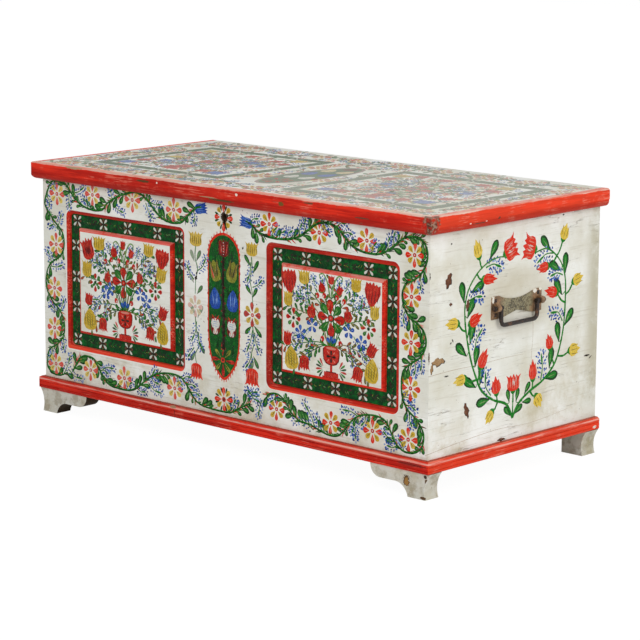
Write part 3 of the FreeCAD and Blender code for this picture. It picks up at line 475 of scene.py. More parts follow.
# Handle plates
# Stamped sheet plates, nailed to the ends of the chest, with a rubbed brassy middle and
# rusted ends round the lugs that hold the bail.
def stamped_plate(name, middle, high):
    metal = Finish(name)
    from_middle = metal.away(metal.axis(1), middle)
    worm = metal.away(metal.noise(150.0, 2.0, 0.5), 0.5)
    pattern = metal.times(metal.rise(worm, 0.06, 0.02), metal.rise(from_middle, 0.042, 0.024))
    patches = metal.noise(70.0, 6.0, 0.7)
    end = metal.rise(metal.plus(from_middle, metal.times(patches, 0.03)), 0.055, 0.075)
    rust = metal.mix(metal.rise(patches, 0.4, 0.65), (0.15, 0.085, 0.040), (0.36, 0.20, 0.095))
    blotches = metal.rise(metal.noise(260.0, 4.0, 0.7), 0.50, 0.60)
    metal.ground(blotches, (0.30, 0.265, 0.155), (0.13, 0.095, 0.045))
    metal.coat((0.04, 0.035, 0.025), pattern, 0.85)
    metal.coat(rust, end)
    # White dabs at the plate's upper corners: partly paint smears, partly painted glints on the worn metal
    # and nails.
    white_dab_and_glint = (0.80, 0.76, 0.66)
    metal.chip([((0.602, middle + 0.062, high - 0.004), (0.02, 0.007, 0.005), white_dab_and_glint),
                ((0.602, middle - 0.080, high - 0.006), (0.02, 0.004, 0.009), white_dab_and_glint),
                ((0.602, middle + 0.080, high - 0.002), (0.02, 0.005, 0.003), white_dab_and_glint)])
    return metal.done(0.5, None, metal.minus(metal.times(patches, 0.5), pattern), 0.0008, 0.8,
                      metal.minus(0.35, metal.times(end, 0.2)))


plate_low, plate_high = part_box("handle_plate_right")
plate_metal = stamped_plate("stamped_plate", (plate_low.y + plate_high.y) / 2, plate_high.z)
for node in ("handle_plate_right", "handle_plate_left"):
    paint_faces(node, {"plate": plate_metal}, lambda centre, normal: "plate")

# Till
# A small lidded box of planed pine let into the front and the back. Its lid turns on a
# wooden peg at each end.
for node in ("till_wall", "till_floor", "till_lid"):
    paint_faces(node, {"bare": pine_boards["y", 0]}, lambda centre, normal: "bare")

# Painted flowers
# Folk flowers in oil paint, laid on with single brush strokes: petals, leaves, dots and thorns
# on thin vines. Each stroke is a thin skin of paint that stands a little off the board.
chance = random.Random(1862)
paints = ["leaf_green", "dark_green", "pale_green", "red", "dark_red", "pink", "yellow", "ochre", "blue",
          "pale_blue", "white", "bare_wood", "black_brown", "niche_green", "bright_red", "tan",
          "lemon", "fresh_green", "olive", "deep_blue"]


def stroke_paint(name, base, dark, light, wear):
    """Brushed oil paint: streaky, rubbed thin in spots, and faded as far as the stroke's tone says."""
    paint = Finish(name + "_paint")
    tone = add(paint.tree, "ShaderNodeAttribute", attribute_name="mark_tone").outputs["Fac"]
    brush_lines = paint.noise(520.0, 4.0, 0.65)
    paint.ground(paint.rise(brush_lines, 0.40, 0.62), dark, base)
    paint.coat(light, paint.rise(paint.noise(95.0, 3.0), 0.5, 0.68), 0.5)
    thin = paint.times(paint.rise(paint.noise(300.0, 5.0, 0.7), 0.56, 0.70), wear)
    paint.coat((0.74, 0.72, 0.65), paint.calc("MAXIMUM", thin, tone))
    return paint.done(0.5, 0.04, brush_lines, 0.0005, 0.6)


paint_colours = {
    "leaf_green": ((0.022, 0.215, 0.020), (0.008, 0.085, 0.012), (0.07, 0.34, 0.04)),
    "dark_green": ((0.008, 0.058, 0.012), (0.005, 0.020, 0.007), (0.02, 0.12, 0.02)),
    "pale_green": ((0.22, 0.38, 0.12), (0.09, 0.22, 0.06), (0.40, 0.50, 0.26)),
    "red": ((0.66, 0.024, 0.012), (0.34, 0.008, 0.006), (0.76, 0.09, 0.045)),
    "dark_red": ((0.18, 0.012, 0.010), (0.08, 0.006, 0.006), (0.30, 0.03, 0.02)),
    "pink": ((0.70, 0.22, 0.15), (0.60, 0.12, 0.08), (0.76, 0.42, 0.33)),
    "yellow": ((0.70, 0.48, 0.045), (0.46, 0.29, 0.02), (0.78, 0.61, 0.17)),
    "lemon": ((0.80, 0.60, 0.085), (0.60, 0.40, 0.04), (0.85, 0.70, 0.22)),
    "ochre": ((0.24, 0.17, 0.03), (0.13, 0.10, 0.02), (0.36, 0.27, 0.06)),
    "blue": ((0.020, 0.100, 0.49), (0.010, 0.034, 0.20), (0.07, 0.21, 0.62)),
    "pale_blue": ((0.20, 0.34, 0.66), (0.10, 0.22, 0.52), (0.42, 0.52, 0.72)),
    "white": ((0.74, 0.74, 0.68), (0.55, 0.56, 0.50), (0.82, 0.82, 0.78)),
    "bare_wood": ((0.17, 0.065, 0.035), (0.09, 0.035, 0.02), (0.27, 0.12, 0.06)),
    "black_brown": ((0.030, 0.018, 0.012), (0.014, 0.010, 0.008), (0.07, 0.04, 0.03)),
    "niche_green": ((0.008, 0.120, 0.016), (0.005, 0.045, 0.012), (0.010, 0.22, 0.016)),
    "bright_red": ((0.80, 0.038, 0.013), (0.54, 0.015, 0.008), (0.84, 0.14, 0.08)),
    "fresh_green": ((0.020, 0.27, 0.025), (0.008, 0.11, 0.014), (0.06, 0.40, 0.05)),
    "tan": ((0.42, 0.26, 0.12), (0.28, 0.16, 0.07), (0.55, 0.38, 0.20)),
    "olive": ((0.30, 0.29, 0.030), (0.12, 0.15, 0.016), (0.50, 0.45, 0.08)),
    "deep_blue": ((0.012, 0.045, 0.22), (0.006, 0.018, 0.09), (0.05, 0.14, 0.40)),
}
faint = {"pink", "pale_blue", "pale_green", "ochre"}
paint_finish = [stroke_paint(name, *paint_colours[name], wear=0.28 if name in faint else 0.12)
                for name in paints]

# Each half outline goes from the stroke's root at 0 to its tip at 1, with its half width.
half_outlines = {
    "petal": [(0, 0.05), (0.2, 0.2), (0.42, 0.40), (0.64, 0.5), (0.83, 0.44), (0.95, 0.24), (1, 0.03)],
    "leaf": [(0, 0.05), (0.16, 0.24), (0.38, 0.46), (0.6, 0.5), (0.8, 0.38), (0.94, 0.18), (1, 0.02)],
    "stroke": [(0, 0.12), (0.14, 0.42), (0.4, 0.5), (0.75, 0.3), (1, 0.03)],
    "tulip": [(0, 0.1), (0.05, 0.28), (0.18, 0.43), (0.4, 0.46), (0.6, 0.42), (0.8, 0.46), (0.97, 0.56),
              (0.83, 0.33), (0.96, 0.21), (0.78, 0.12), (1, 0.02)],
    "bud": [(0, 0.12), (0.07, 0.34), (0.24, 0.5), (0.46, 0.48), (0.64, 0.38), (0.8, 0.33), (0.7, 0.22),
            (0.84, 0.12), (1, 0.02)],
    "bulb": [(0, 0.14), (0.06, 0.36), (0.25, 0.5), (0.45, 0.49), (0.66, 0.40), (0.85, 0.24), (1, 0.03)],
    "crown": [(0, 0.08), (0.08, 0.18), (0.26, 0.30), (0.44, 0.43), (0.62, 0.50), (0.82, 0.46), (0.95, 0.44),
              (0.88, 0.30), (0.97, 0.2), (0.88, 0.1), (1, 0.03)],
    "dot": [(-0.5, 0.12), (-0.36, 0.38), (0, 0.5), (0.36, 0.38), (0.5, 0.12)],
    "bar": [(-0.5, 0.5), (0.5, 0.5)],
    "niche": [(0, 0.02), (0.012, 0.1), (0.035, 0.18), (0.09, 0.33), (0.13, 0.40), (0.188, 0.46),
              (0.25, 0.485), (0.322, 0.5), (0.848, 0.5), (0.89, 0.475), (0.93, 0.42), (0.965, 0.32),
              (0.985, 0.22), (0.996, 0.11), (1, 0.02)],
    "oval": [(-0.5, 0.06), (-0.47, 0.2), (-0.38, 0.34), (-0.25, 0.44), (-0.09, 0.5), (0.09, 0.5),
             (0.25, 0.44), (0.38, 0.34), (0.47, 0.2), (0.5, 0.06)],
    "cup": [(0, 0.14), (0.08, 0.32), (0.3, 0.46), (0.62, 0.5), (0.9, 0.5), (1, 0.42)],
}
ragged_outline = [(0.50, 0.03), (0.38, 0.19), (0.30, 0.36), (0.10, 0.30), (-0.02, 0.50), (-0.22, 0.40),
                  (-0.30, 0.20), (-0.50, 0.12), (-0.42, -0.12), (-0.20, -0.18), (-0.12, -0.44),
                  (0.10, -0.34), (0.24, -0.16), (0.42, -0.20)]
brush_names = sorted([*half_outlines, "ragged"])
brushes = bpy.data.collections.new("brushes")
for name in brush_names:
    if name == "ragged":
        outline = ragged_outline
    else:
        half = half_outlines[name]
        outline = [(x, -y) for x, y in half] + [(x, y) for x, y in reversed(half)]
    middle_x = sum(x for x, y in outline) / len(outline)
    count = len(outline)
    corners = [(x, y, -0.2) for x, y in outline]
    corners += [(middle_x + (x - middle_x) * 0.95, y * 0.95, 1) for x, y in outline]
    rims = [(i, (i + 1) % count, (i + 1) % count + count, i + count) for i in range(count)]
    caps = [tuple(range(count, 2 * count)), tuple(reversed(range(count)))]
    mesh = bpy.data.meshes.new("brush_" + name)
    mesh.from_pydata(corners, [], rims + caps)
    brushes.objects.link(bpy.data.objects.new("brush_" + name, mesh))


def painting_tree():
    """Sets a brush mark on each point and a ribbon of paint along each stem."""
    tree = bpy.data.node_groups.new("painted_strokes", "GeometryNodeTree")
    for name, way, kind in (("Marks", "INPUT", "Geometry"), ("Brushes", "INPUT", "Collection"),
                            ("Stems", "INPUT", "Object"), ("Stem Height", "INPUT", "Float"),
                            ("Painting", "OUTPUT", "Geometry")):
        tree.interface.new_socket(name, in_out=way, socket_type="NodeSocket" + kind)
    given = add(tree, "NodeGroupInput").outputs

    def named(name, kind):
        node = add(tree, "GeometryNodeInputNamedAttribute", {"Name": name}, data_type=kind)
        return next(socket for socket in node.outputs if socket.enabled)

    stock = add(tree, "GeometryNodeCollectionInfo", {"Collection": given["Brushes"],
                                                     "Separate Children": True, "Reset Children": True})
    turn = add(tree, "ShaderNodeCombineXYZ", {2: named("mark_turn", "FLOAT")})
    placed = add(tree, "GeometryNodeInstanceOnPoints",
                 {"Points": given["Marks"], "Instance": stock.outputs[0], "Pick Instance": True,
                  "Instance Index": named("mark_shape", "INT"), "Rotation": turn.outputs[0],
                  "Scale": named("mark_size", "FLOAT_VECTOR")})
    marks = add(tree, "GeometryNodeRealizeInstances", {"Geometry": placed.outputs[0]})
    lines = add(tree, "GeometryNodeObjectInfo", {"Object": given["Stems"]}).outputs["Geometry"]
    lines = add(tree, "GeometryNodeMeshToCurve", {"Mesh": lines}).outputs[0]
    lines = add(tree, "GeometryNodeSetCurveNormal", {"Curve": lines}, mode="Z_UP").outputs[0]
    ribbon = add(tree, "GeometryNodeCurvePrimitiveQuadrilateral",
                 {"Width": 1.0, "Height": given["Stem Height"]})
    ribbons = add(tree, "GeometryNodeCurveToMesh",
                  {"Curve": lines, "Profile Curve": ribbon.outputs[0],
                   "Scale": named("mark_width", "FLOAT"), "Fill Caps": True})
    joined = add(tree, "GeometryNodeJoinGeometry")
    for part in (ribbons.outputs[0], marks.outputs[0]):
        tree.links.new(part, joined.inputs[0])
    result = add(tree, "GeometryNodeRealizeInstances", {"Geometry": joined.outputs[0]}).outputs[0]
    number = named("mark_paint", "INT")
    for i, finish in enumerate(paint_finish):
        chosen = add(tree, "FunctionNodeCompare", {2: number, 3: i}, data_type="INT", operation="EQUAL")
        result = add(tree, "GeometryNodeSetMaterial",
                     {"Geometry": result, "Selection": chosen.outputs[0], "Material": finish}).outputs[0]
    add(tree, "NodeGroupOutput", {0: result})
    return tree


strokes = painting_tree()
layer_height = 0.04 * MM
stem_height = 0.06


class Canvas:
    """Marks and stems on one surface, in millimetres: x along it and y up it."""

    def __init__(self, fade=0.0):
        self.marks = []
        self.stems = []
        self.fade = fade

    def mark(self, shape, paint, x, y, turn, length, width, layer=4, tone=0.0):
        height = layer_height * layer + chance.random() * layer_height * 0.8
        fade = max(self.fade, tone) + chance.random() * 0.02
        size = (length * MM, width * MM, height)
        self.marks.append((x * MM, y * MM, math.radians(turn), size, brush_names.index(shape),
                           paints.index(paint), fade))

    def stem(self, points, paint, width, layer=2, tone=0.0, tip=0.4, closed=False):
        """A ribbon through the points that thins towards its tip. Gives its places and directions."""
        places = smooth(points, closed)
        count = len(places)
        widths = [width * (1 - (1 - tip) * i / (count - 1)) * (0.85 + 0.3 * chance.random())
                  for i in range(count)]
        self.stems.append((places, widths, paints.index(paint), layer, max(tone, self.fade), closed))
        return with_directions(places)


def smooth(points, closed=False, steps=6):
    """A smooth line through the points."""
    count = len(points)
    places = []
    for i in range(count if closed else count - 1):
        if closed:
            a, b, c, d = (points[(i + k) % count] for k in (-1, 0, 1, 2))
        else:
            a, b, c, d = (points[min(max(i + k, 0), count - 1)] for k in (-1, 0, 1, 2))
        for step in range(steps):
            t = step / steps
            places.append(tuple(
                0.5 * (2 * q + (r - p) * t + (2 * p - 5 * q + 4 * r - s) * t * t
                       + (3 * q - p - 3 * r + s) * t * t * t)
                for p, q, r, s in zip(a, b, c, d)))
    if not closed:
        places.append(tuple(points[-1]))
    return places


def with_directions(places):
    result = []
    for i, (x, y) in enumerate(places):
        before = places[max(i - 1, 0)]
        after = places[min(i + 1, len(places) - 1)]
        result.append((x, y, math.degrees(math.atan2(after[1] - before[1], after[0] - before[0]))))
    return result


def finish_canvas(canvas, name, origin, across, up, body):
    """Turns the marks and stems into one mesh that lies on the surface and rides on the body."""
    point_mesh = bpy.data.meshes.new(name + "_marks")
    point_mesh.from_pydata([(x, y, 0) for x, y, *rest in canvas.marks], [], [])
    columns = (("mark_turn", "FLOAT", "value", 2), ("mark_size", "FLOAT_VECTOR", "vector", 3),
               ("mark_shape", "INT", "value", 4), ("mark_paint", "INT", "value", 5),
               ("mark_tone", "FLOAT", "value", 6))
    for label, kind, field, column in columns:
        data = point_mesh.attributes.new(label, kind, "POINT").data
        for i, row in enumerate(canvas.marks):
            setattr(data[i], field, row[column])
    corners, edges, widths, numbers, tones = [], [], [], [], []
    for places, wide, number, layer, tone, closed in canvas.stems:
        first = len(corners)
        rise_by = layer_height * (layer + chance.random() * 0.8)
        for (x, y), width in zip(places, wide):
            corners.append((x * MM, y * MM, rise_by))
            widths.append(width * MM)
            numbers.append(number)
            tones.append(tone)
        edges += [(i, i + 1) for i in range(first, len(corners) - 1)]
        if closed:
            edges.append((len(corners) - 1, first))
    stem_mesh = bpy.data.meshes.new(name + "_stems")
    stem_mesh.from_pydata(corners, edges, [])
    for label, kind, values in (("mark_width", "FLOAT", widths), ("mark_paint", "INT", numbers),
                                ("mark_tone", "FLOAT", tones)):
        data = stem_mesh.attributes.new(label, kind, "POINT").data
        for i, value in enumerate(values):
            data[i].value = value
    stem_object = bpy.data.objects.new(name + "_stems", stem_mesh)
    source = bpy.data.objects.new(name + "_source", point_mesh)
    bpy.context.scene.collection.objects.link(source)
    modifier = source.modifiers.new("strokes", "NODES")
    modifier.node_group = strokes
    sockets = {item.name: item.identifier for item in strokes.interface.items_tree
               if item.in_out == "INPUT"}
    modifier[sockets["Brushes"]] = brushes
    modifier[sockets["Stems"]] = stem_object
    modifier[sockets["Stem Height"]] = stem_height
    ready = source.evaluated_get(bpy.context.evaluated_depsgraph_get())
    mesh = bpy.data.meshes.new_from_object(ready)
    mesh.name = name
    normal = Vector(across).cross(Vector(up))
    base = Matrix((Vector(across), Vector(up), normal)).transposed().to_4x4()
    mesh.transform(Matrix.Translation(origin) @ base)
    bpy.data.objects.remove(source)
    bpy.data.objects.remove(stem_object)
    made = bpy.data.objects.new(name, mesh)
    bpy.context.scene.collection.objects.link(made)
    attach(made, body)


line_for = {"lemon": "ochre", "fresh_green": "pale_green", "red": "dark_red", "bright_red": "pink",
            "dark_red": "black_brown", "yellow": "ochre", "blue": "pale_blue", "white": "black_brown",
            "pink": "red", "ochre": "yellow", "olive": "dark_green", "deep_blue": "pale_blue",
            "leaf_green": "pale_green", "pale_green": "leaf_green", "dark_green": "leaf_green"}


def step_from(x, y, turn, distance):
    return x + math.cos(math.radians(turn)) * distance, y + math.sin(math.radians(turn)) * distance


def petals(canvas, x, y, r, turns, paint, start=0.3, width=0.44, fade=0.0, edge=None):
    """Petals of one colour that stand round a middle, each with a fine line down it."""
    for turn in turns:
        turn += chance.uniform(-4, 4)
        reach = r * chance.uniform(0.93, 1.05)
        root = step_from(x, y, turn, r * start)
        length = reach - r * start
        if edge:
            canvas.mark("petal", edge, *root, turn, length * 1.05, r * width * 1.14, 3, fade)
        canvas.mark("petal", paint, *root, turn, length, r * width, 4, fade)
        inner = step_from(x, y, turn + chance.uniform(-3, 3), r * (start + 0.12))
        canvas.mark("stroke", line_for[paint], *inner, turn, length * 0.62, r * 0.08, 6, fade)


def rosette(canvas, x, y, r, first="red", second="yellow", fade=0.0, middle="red"):
    edge = "dark_red" if first == "red" else None
    petals(canvas, x, y, r * 1.04, (90, 270), first, 0.26, 0.36, fade, edge)
    petals(canvas, x, y, r, (0, 180), first, 0.32, 0.50, fade, edge)
    petals(canvas, x, y, r * 0.98, (45, 135, 225, 315), second, 0.26, 0.46, fade)
    if middle:
        canvas.mark("dot", middle, x, y, 0, r * 0.36, r * 0.36, 6, fade)
        canvas.mark("dot", "white", x, y, 0, r * 0.13, r * 0.13, 8, fade)


def tulip(canvas, x, y, turn, length, width, paint, shape="tulip", lines=4, fade=0.0):
    """A flower head seen from the side, with brush lines that fan out over it."""
    root = step_from(x, y, turn, -length / 2)
    canvas.mark(shape, paint, *root, turn, length, width, 5, fade)
    for i in range(lines):
        across = (i - (lines - 1) / 2) / lines
        start = step_from(*step_from(*root, turn, length * (0.12 + abs(across) * 0.25)), turn + 90,
                          across * width * 0.85)
        canvas.mark("stroke", line_for[paint], *start, turn + across * 16, length * chance.uniform(0.5, 0.7),
                    max(width * 0.055, 1.3), 7)


def leaf(canvas, x, y, turn, length, width, paint="leaf_green", fade=0.0):
    canvas.mark("petal", "dark_green", x, y, turn, length * 1.04, width * 1.12, 3, fade)
    inner = step_from(*step_from(x, y, turn, length * 0.1), turn + 80, width * 0.07)
    canvas.mark("petal", paint, *inner, turn, length * 0.84, width * 0.74, 4, fade)
    canvas.mark("stroke", "pale_green", *step_from(x, y, turn + 4, length * 0.3), turn, length * 0.5,
                width * 0.14, 6, fade)


def sprig(canvas, x, y, turn, length, bend, rows=(5.2, 8.4), dot=5.0, stalk="leaf_green"):
    """A thin bent stalk with rows of small dots on both sides and round its end."""
    middle = step_from(x, y, turn - bend / 2, length * 0.5)
    end = step_from(*middle, turn + bend / 2, length * 0.5)
    places = canvas.stem([(x, y), middle, end], stalk, dot * 0.55, 3)
    canvas.mark("leaf", stalk, *places[6][:2], places[8][2], length * 0.5, dot * 0.95, 4)
    spots = []
    for i in range(2, len(places)):
        px, py, way = places[i]
        for side in (-1, 1):
            for k, row in enumerate(rows):
                if (i + k) % 2:
                    out = step_from(px, py, way + side * chance.uniform(62, 100),
                                    row * chance.uniform(0.75, 1.2))
                    spots.append((*out, way + side * chance.uniform(30, 70)))
    px, py, way = places[-1]
    spots += [(*step_from(px, py, way + fan, rows[0] * 1.1), way + fan) for fan in (-70, 0, 70)]
    for spot in spots:
        canvas.mark("dot", chance.choice(("blue", "blue", "deep_blue", "pale_blue")), *spot, dot, dot * 0.66)


def inside(x, y, areas, grow=0.0):
    return any(x0 - grow < x < x1 + grow and y0 - grow < y < y1 + grow for x0, x1, y0, y1 in areas)


tick_paints = ("red", "pink", "bare_wood", "leaf_green", "leaf_green", "dark_green", "olive")


def dress_vine(canvas, places, taken, field, closed_areas, gap=3):
    """Sets leaves, dotted sprigs and short ticks along a vine wherever there is room."""
    def room(x, y, turn, reaches, clear):
        for reach in reaches:
            px, py = step_from(x, y, turn, reach)
            if not inside(px, py, [field], -3.0) or inside(px, py, closed_areas, 2.0):
                return False
            if any(math.hypot(px - tx, py - ty) < tr + clear for tx, ty, tr in taken):
                return False
        return True

    side = 1
    for i in range(2, len(places) - 1):
        x, y, way = places[i]
        if i % gap == 0:
            side = -side
            for half in (side, -side):
                turn = way + half * chance.uniform(38, 60)
                if i % (2 * gap) == 0 and room(x, y, turn, (14, 25, 36), 3.0):
                    sprig(canvas, x, y, turn, 32, -half * 35)
                    taken += [(*step_from(x, y, turn, reach), 7.0) for reach in (14, 25, 34)]
                    break
                if room(x, y, turn, (12, 21, 27), 2.0):
                    leaf(canvas, *step_from(x, y, turn, 1.5), turn, chance.uniform(24, 29),
                         chance.uniform(11, 13.5))
                    taken += [(*step_from(x, y, turn, reach), 5.0) for reach in (11, 21)]
                    break
                if room(x, y, turn, (9, 16), 1.5):
                    leaf(canvas, *step_from(x, y, turn, 1.5), turn, chance.uniform(15, 19),
                         chance.uniform(7, 9))
                    taken.append((*step_from(x, y, turn, 10), 4.5))
                    break
        for half in (-1, 1):
            tick = way + half * chance.uniform(24, 46)
            if chance.random() < (0.9 if half == -side else 0.5) and room(x, y, tick, (9,), 0.0):
                paint = chance.choice(tick_paints)
                canvas.mark("stroke", paint, x, y, tick, chance.uniform(10, 18), 3.0, 4)


# The front: vines with rosettes round the two windows, and the niche between them.
front = Canvas()
front_field = (-594, 594, 90, 566)
window_areas = [(-526, -116, 156, 500), (128, 523, 162, 496), (-53, 58, 158, 502)]
front_rosettes = [(-551, 526), (-427, 536), (-292, 538), (-156, 530), (142, 530), (290, 528), (426, 526),
                  (558, 511), (-556, 406), (-564, 301), (-566, 205), (-563, 118), (-440, 121), (-324, 119),
                  (-156, 121), (165, 124), (326, 120), (446, 122), (546, 120), (551, 423), (551, 327),
                  (551, 230)]
faded_rosettes = [(-88, 319), (91, 323)]
front_taken = [(x, y, 20) for x, y in front_rosettes + faded_rosettes]
front_taken += [(2, 529, 30), (-2, 120, 30), (-68, 542, 20), (71, 526, 20)]
front_vines = [
    [(-68, 545), (-85, 541), (-110, 522), (-135, 503), (-172, 501), (-204, 512), (-235, 537), (-260, 553),
     (-285, 557), (-310, 551), (-341, 541), (-376, 522), (-394, 505), (-429, 501), (-466, 509), (-491, 525),
     (-522, 553), (-547, 557), (-572, 550), (-594, 505), (-585, 485), (-563, 462), (-534, 437), (-528, 406),
     (-541, 381), (-579, 356), (-593, 325), (-591, 294), (-572, 269), (-547, 250), (-532, 225), (-533, 194),
     (-554, 169), (-585, 150), (-593, 125), (-592, 106), (-572, 93), (-547, 93), (-522, 103)],
    [(-504, 108), (-485, 134), (-475, 146), (-457, 152), (-429, 149), (-413, 131), (-397, 112), (-376, 96),
     (-341, 92), (-307, 93), (-282, 103), (-260, 119), (-235, 136), (-210, 147), (-172, 153), (-138, 150),
     (-116, 134), (-97, 112), (-79, 99), (-47, 93), (-4, 92), (24, 94), (46, 106), (71, 118), (84, 124)],
    [(71, 530), (90, 522), (109, 509), (140, 502), (171, 501), (202, 504), (234, 514), (259, 531), (284, 546),
     (309, 551), (340, 545), (365, 525), (390, 508), (427, 500), (465, 503), (496, 519), (515, 534),
     (540, 547), (571, 547), (590, 530), (592, 503), (577, 475), (557, 459), (535, 448), (526, 425),
     (531, 400), (546, 380), (571, 367), (588, 350), (591, 325), (577, 300), (552, 283), (532, 266),
     (526, 241), (529, 209), (543, 184), (568, 166), (587, 141), (585, 112), (565, 95), (534, 93),
     (509, 109), (496, 131), (481, 150), (452, 156), (415, 151), (390, 137), (371, 116), (349, 96),
     (321, 92), (290, 99), (265, 106), (234, 109), (209, 124), (193, 144), (171, 157), (149, 157),
     (134, 150)]]
for x, y in front_rosettes:
    rosette(front, x, y, chance.uniform(25.5, 27.5), "bright_red", "lemon" if x < -120 else "yellow",
            0.08 if x < -120 else 0.0)
rosette(front, *faded_rosettes[0], 24, "pink", "yellow", 0.5, "pink")
rosette(front, *faded_rosettes[1], 26, fade=0.05)
front_sprigs = [
    (-534, 99, 64, 53, 10), (-516, 110, -17, 51, 30), (-399, 129, 10, 41, -20), (-246, 126, 49, 41, 10),
    (-243, 121, -23, 50, 30), (-491, 534, 27, 41, 20), (-507, 531, -91, 34, 10), (-360, 535, 109, 23, 10),
    (-353, 520, -24, 36, 20), (-236, 540, -4, 42, 20), (-247, 536, -59, 40, 10), (-547, 453, 69, 30, 10),
    (-549, 442, 174, 37, 60), (-574, 360, 117, 35, 20), (-576, 352, 10, 44, 20), (-558, 241, 143, 30, 10),
    (-545, 248, 66, 34, 10), (280, 103, 124, 60, 10), (276, 96, 170, 62, 30), (406, 146, 170, 48, 20),
    (398, 123, -89, 28, 10), (113, 145, 166, 44, -40), (121, 138, -107, 42, 10)]
for x, y, turn, length, bend in front_sprigs:
    sprig(front, x, y, turn, length, bend)
    front_taken += [(*step_from(x, y, turn, length * part), 8.0) for part in (0.3, 0.65, 1.0)]
for line in front_vines:
    places = front.stem(line, "dark_green", 5.6, 2, 0.0, 0.7)
    front.stem([(x + 0.7, y + 0.7) for x, y, way in places[::6]], "leaf_green", 3.7, 4, 0.0, 0.7)
    dress_vine(front, places, front_taken, front_field, window_areas, 2)
for x, turn in ((-68, 10), (71, 170)):
    tulip(front, x, 542 if x < 0 else 526, turn, 42, 26, "blue", lines=5)

# The keyhole's rosette and its twin below the niche have sixteen petals.
for y, start in ((529, 0.40), (120, 0.26)):
    petals(front, 2, y, 30, (90, 270), "bright_red", start, 0.36)
    petals(front, 2, y, 29, (0, 180), "bright_red", start, 0.40)
    petals(front, 2, y, 29, (45, 135, 225, 315), "yellow", start + 0.04, 0.42)
    for turn in (20, 70, 110, 160, 200, 250, 290, 340):
        front.mark("petal", "dark_green", *step_from(2, y, turn, 14), turn, 14.5, 5, 3)
front.mark("dot", "red", 2, 120, 0, 12, 12, 6)
front.mark("dot", "black_brown", 2, 120, 0, 6, 6, 8)

# The niche is flat paint: a thin red edge with scallops round a mottled green ground.
niche_low, niche_high, niche_middle = 162.5, 496.9, 2.5
front.mark("niche", "bright_red", niche_middle, niche_low, 90, niche_high - niche_low, 101.5, 1)
front.mark("niche", "niche_green", niche_middle, niche_low + 2.4, 90, niche_high - niche_low - 4.4, 97.5, 2)
niche_edge = smooth([(2.5, 162), (20, 172), (36, 192), (49, 225), (53, 270), (53, 340), (53, 410), (53, 446),
                     (46, 472), (28, 490), (2.5, 497.5), (-23, 490), (-41, 472), (-48, 446), (-48, 410),
                     (-48, 340), (-48, 270), (-44, 225), (-31, 192), (-15, 172)], True, 5)
for x, y in niche_edge[::2]:
    front.mark("dot", chance.choice(("pink", "red", "bright_red")), x, y, 90, 7.0, 2.6, 5)
for i in range(44):
    front.mark("ragged", ("dark_green", "leaf_green", "dark_green", "niche_green")[i % 4],
               chance.uniform(-34, 39), chance.uniform(200, 468), chance.uniform(75, 105),
               chance.uniform(16, 34), chance.uniform(5, 10), 3)
trunk = front.stem([(1, 233), (2, 300), (0, 370), (2, 441)], "black_brown", 8.0, 5, 0.0, 0.8)
for i, (x, y, way) in enumerate(trunk):
    for side in (-1, 1):
        paint = ("dark_green", "dark_red", "niche_green")[(i + side) % 3]
        front.mark("dot", paint, x + side * 4.5, y + 3 * side, 0, 6.5, 5.0, 8)
tulip(front, 2, 462, 90, 42, 36, "dark_red", lines=0)
for i in (-1, 0, 1):
    front.mark("stroke", "red", 2 + 7 * i, 446, 90 - i * 10, 32, 2.2, 7)
    front.mark("stroke", "pink", 4.4 + 7 * i, 450, 90 - i * 10, 22, 0.9, 9, 0.1)
for k in range(5):
    front.mark("dot", "white", 2, 447 + 6.5 * k, 0, 2.2, 2.2, 10)
    for side in (-1, 1):
        front.mark("ragged", "black_brown", 2 + side * (16 + k % 2 * 3), 446 + 8 * k, 90, 8, 4.5, 6)
for x, y, paint, wide in ((-25, 409, "olive", 32), (29, 412, "olive", 34),
                          (-25, 347, "blue", 35), (30, 347, "blue", 35)):
    side = 1 if x > 0 else -1
    lean = 90 - side * (14 if paint == "olive" else 4)
    root = step_from(x, y, lean, -27)
    front.mark("tulip", "dark_green", *root, lean, 54, wide * 1.12, 4)
    front.mark("bulb", paint, *step_from(*root, lean, 1), lean, 50, wide, 6)
    for half in (-1, 1):
        if paint == "olive":
            front.mark("stroke", "ochre", *step_from(*root, lean + half * 14, 12), lean + half * 13, 40,
                       wide * 0.30, 7)
        front.mark("stroke", line_for[paint], *step_from(*root, lean + half * 16, 14), lean + half * 8,
                   32, 2.4, 8)
    for i in (-1, 0, 1):
        start = step_from(*step_from(*root, lean, 10), lean - 90, 5 * i)
        front.mark("stroke", line_for[paint], *start, lean - 6 * i, 28, 1.3, 8)
for x, y in ((-24, 288), (27, 288)):
    front.mark("tulip", "dark_red", x, y - 25, 90, 46, 33, 4)
    front.mark("dot", "white", x, y + 1, 90, 25, 28, 6)
    for half in (-1, 1):
        front.mark("petal", "white", x, y - 4, 270 + half * 12, 20, 9, 5)
        front.mark("stroke", "red", x + half * 2, y + 8, 90 - half * 35, 16, 4.5, 8)
        front.mark("stroke", "pink", x + half * 6, y - 10, 270 - half * 20, 14, 2.4, 7)
    for i in (-1, 0, 1):
        front.mark("stroke", "pale_blue", x - 8, y + 5 * i, 0, 16, 1.2, 8)
front.mark("stroke", "tan", -27, 388, 112, 36, 7, 9)
front.mark("stroke", "bright_red", -28, 390, 112, 26, 3.5, 10)
petals(front, -1, 209, 37, (90, 0, 270, 180), "red", 0.24, 0.24, 0.0, "dark_red")
petals(front, -1, 209, 35, (45, 135, 225, 315), "olive", 0.24, 0.26, 0.0, "dark_green")
front.mark("dot", "red", -1, 209, 0, 13, 13, 8)
front.mark("dot", "black_brown", -1, 209, 0, 5, 5, 10)

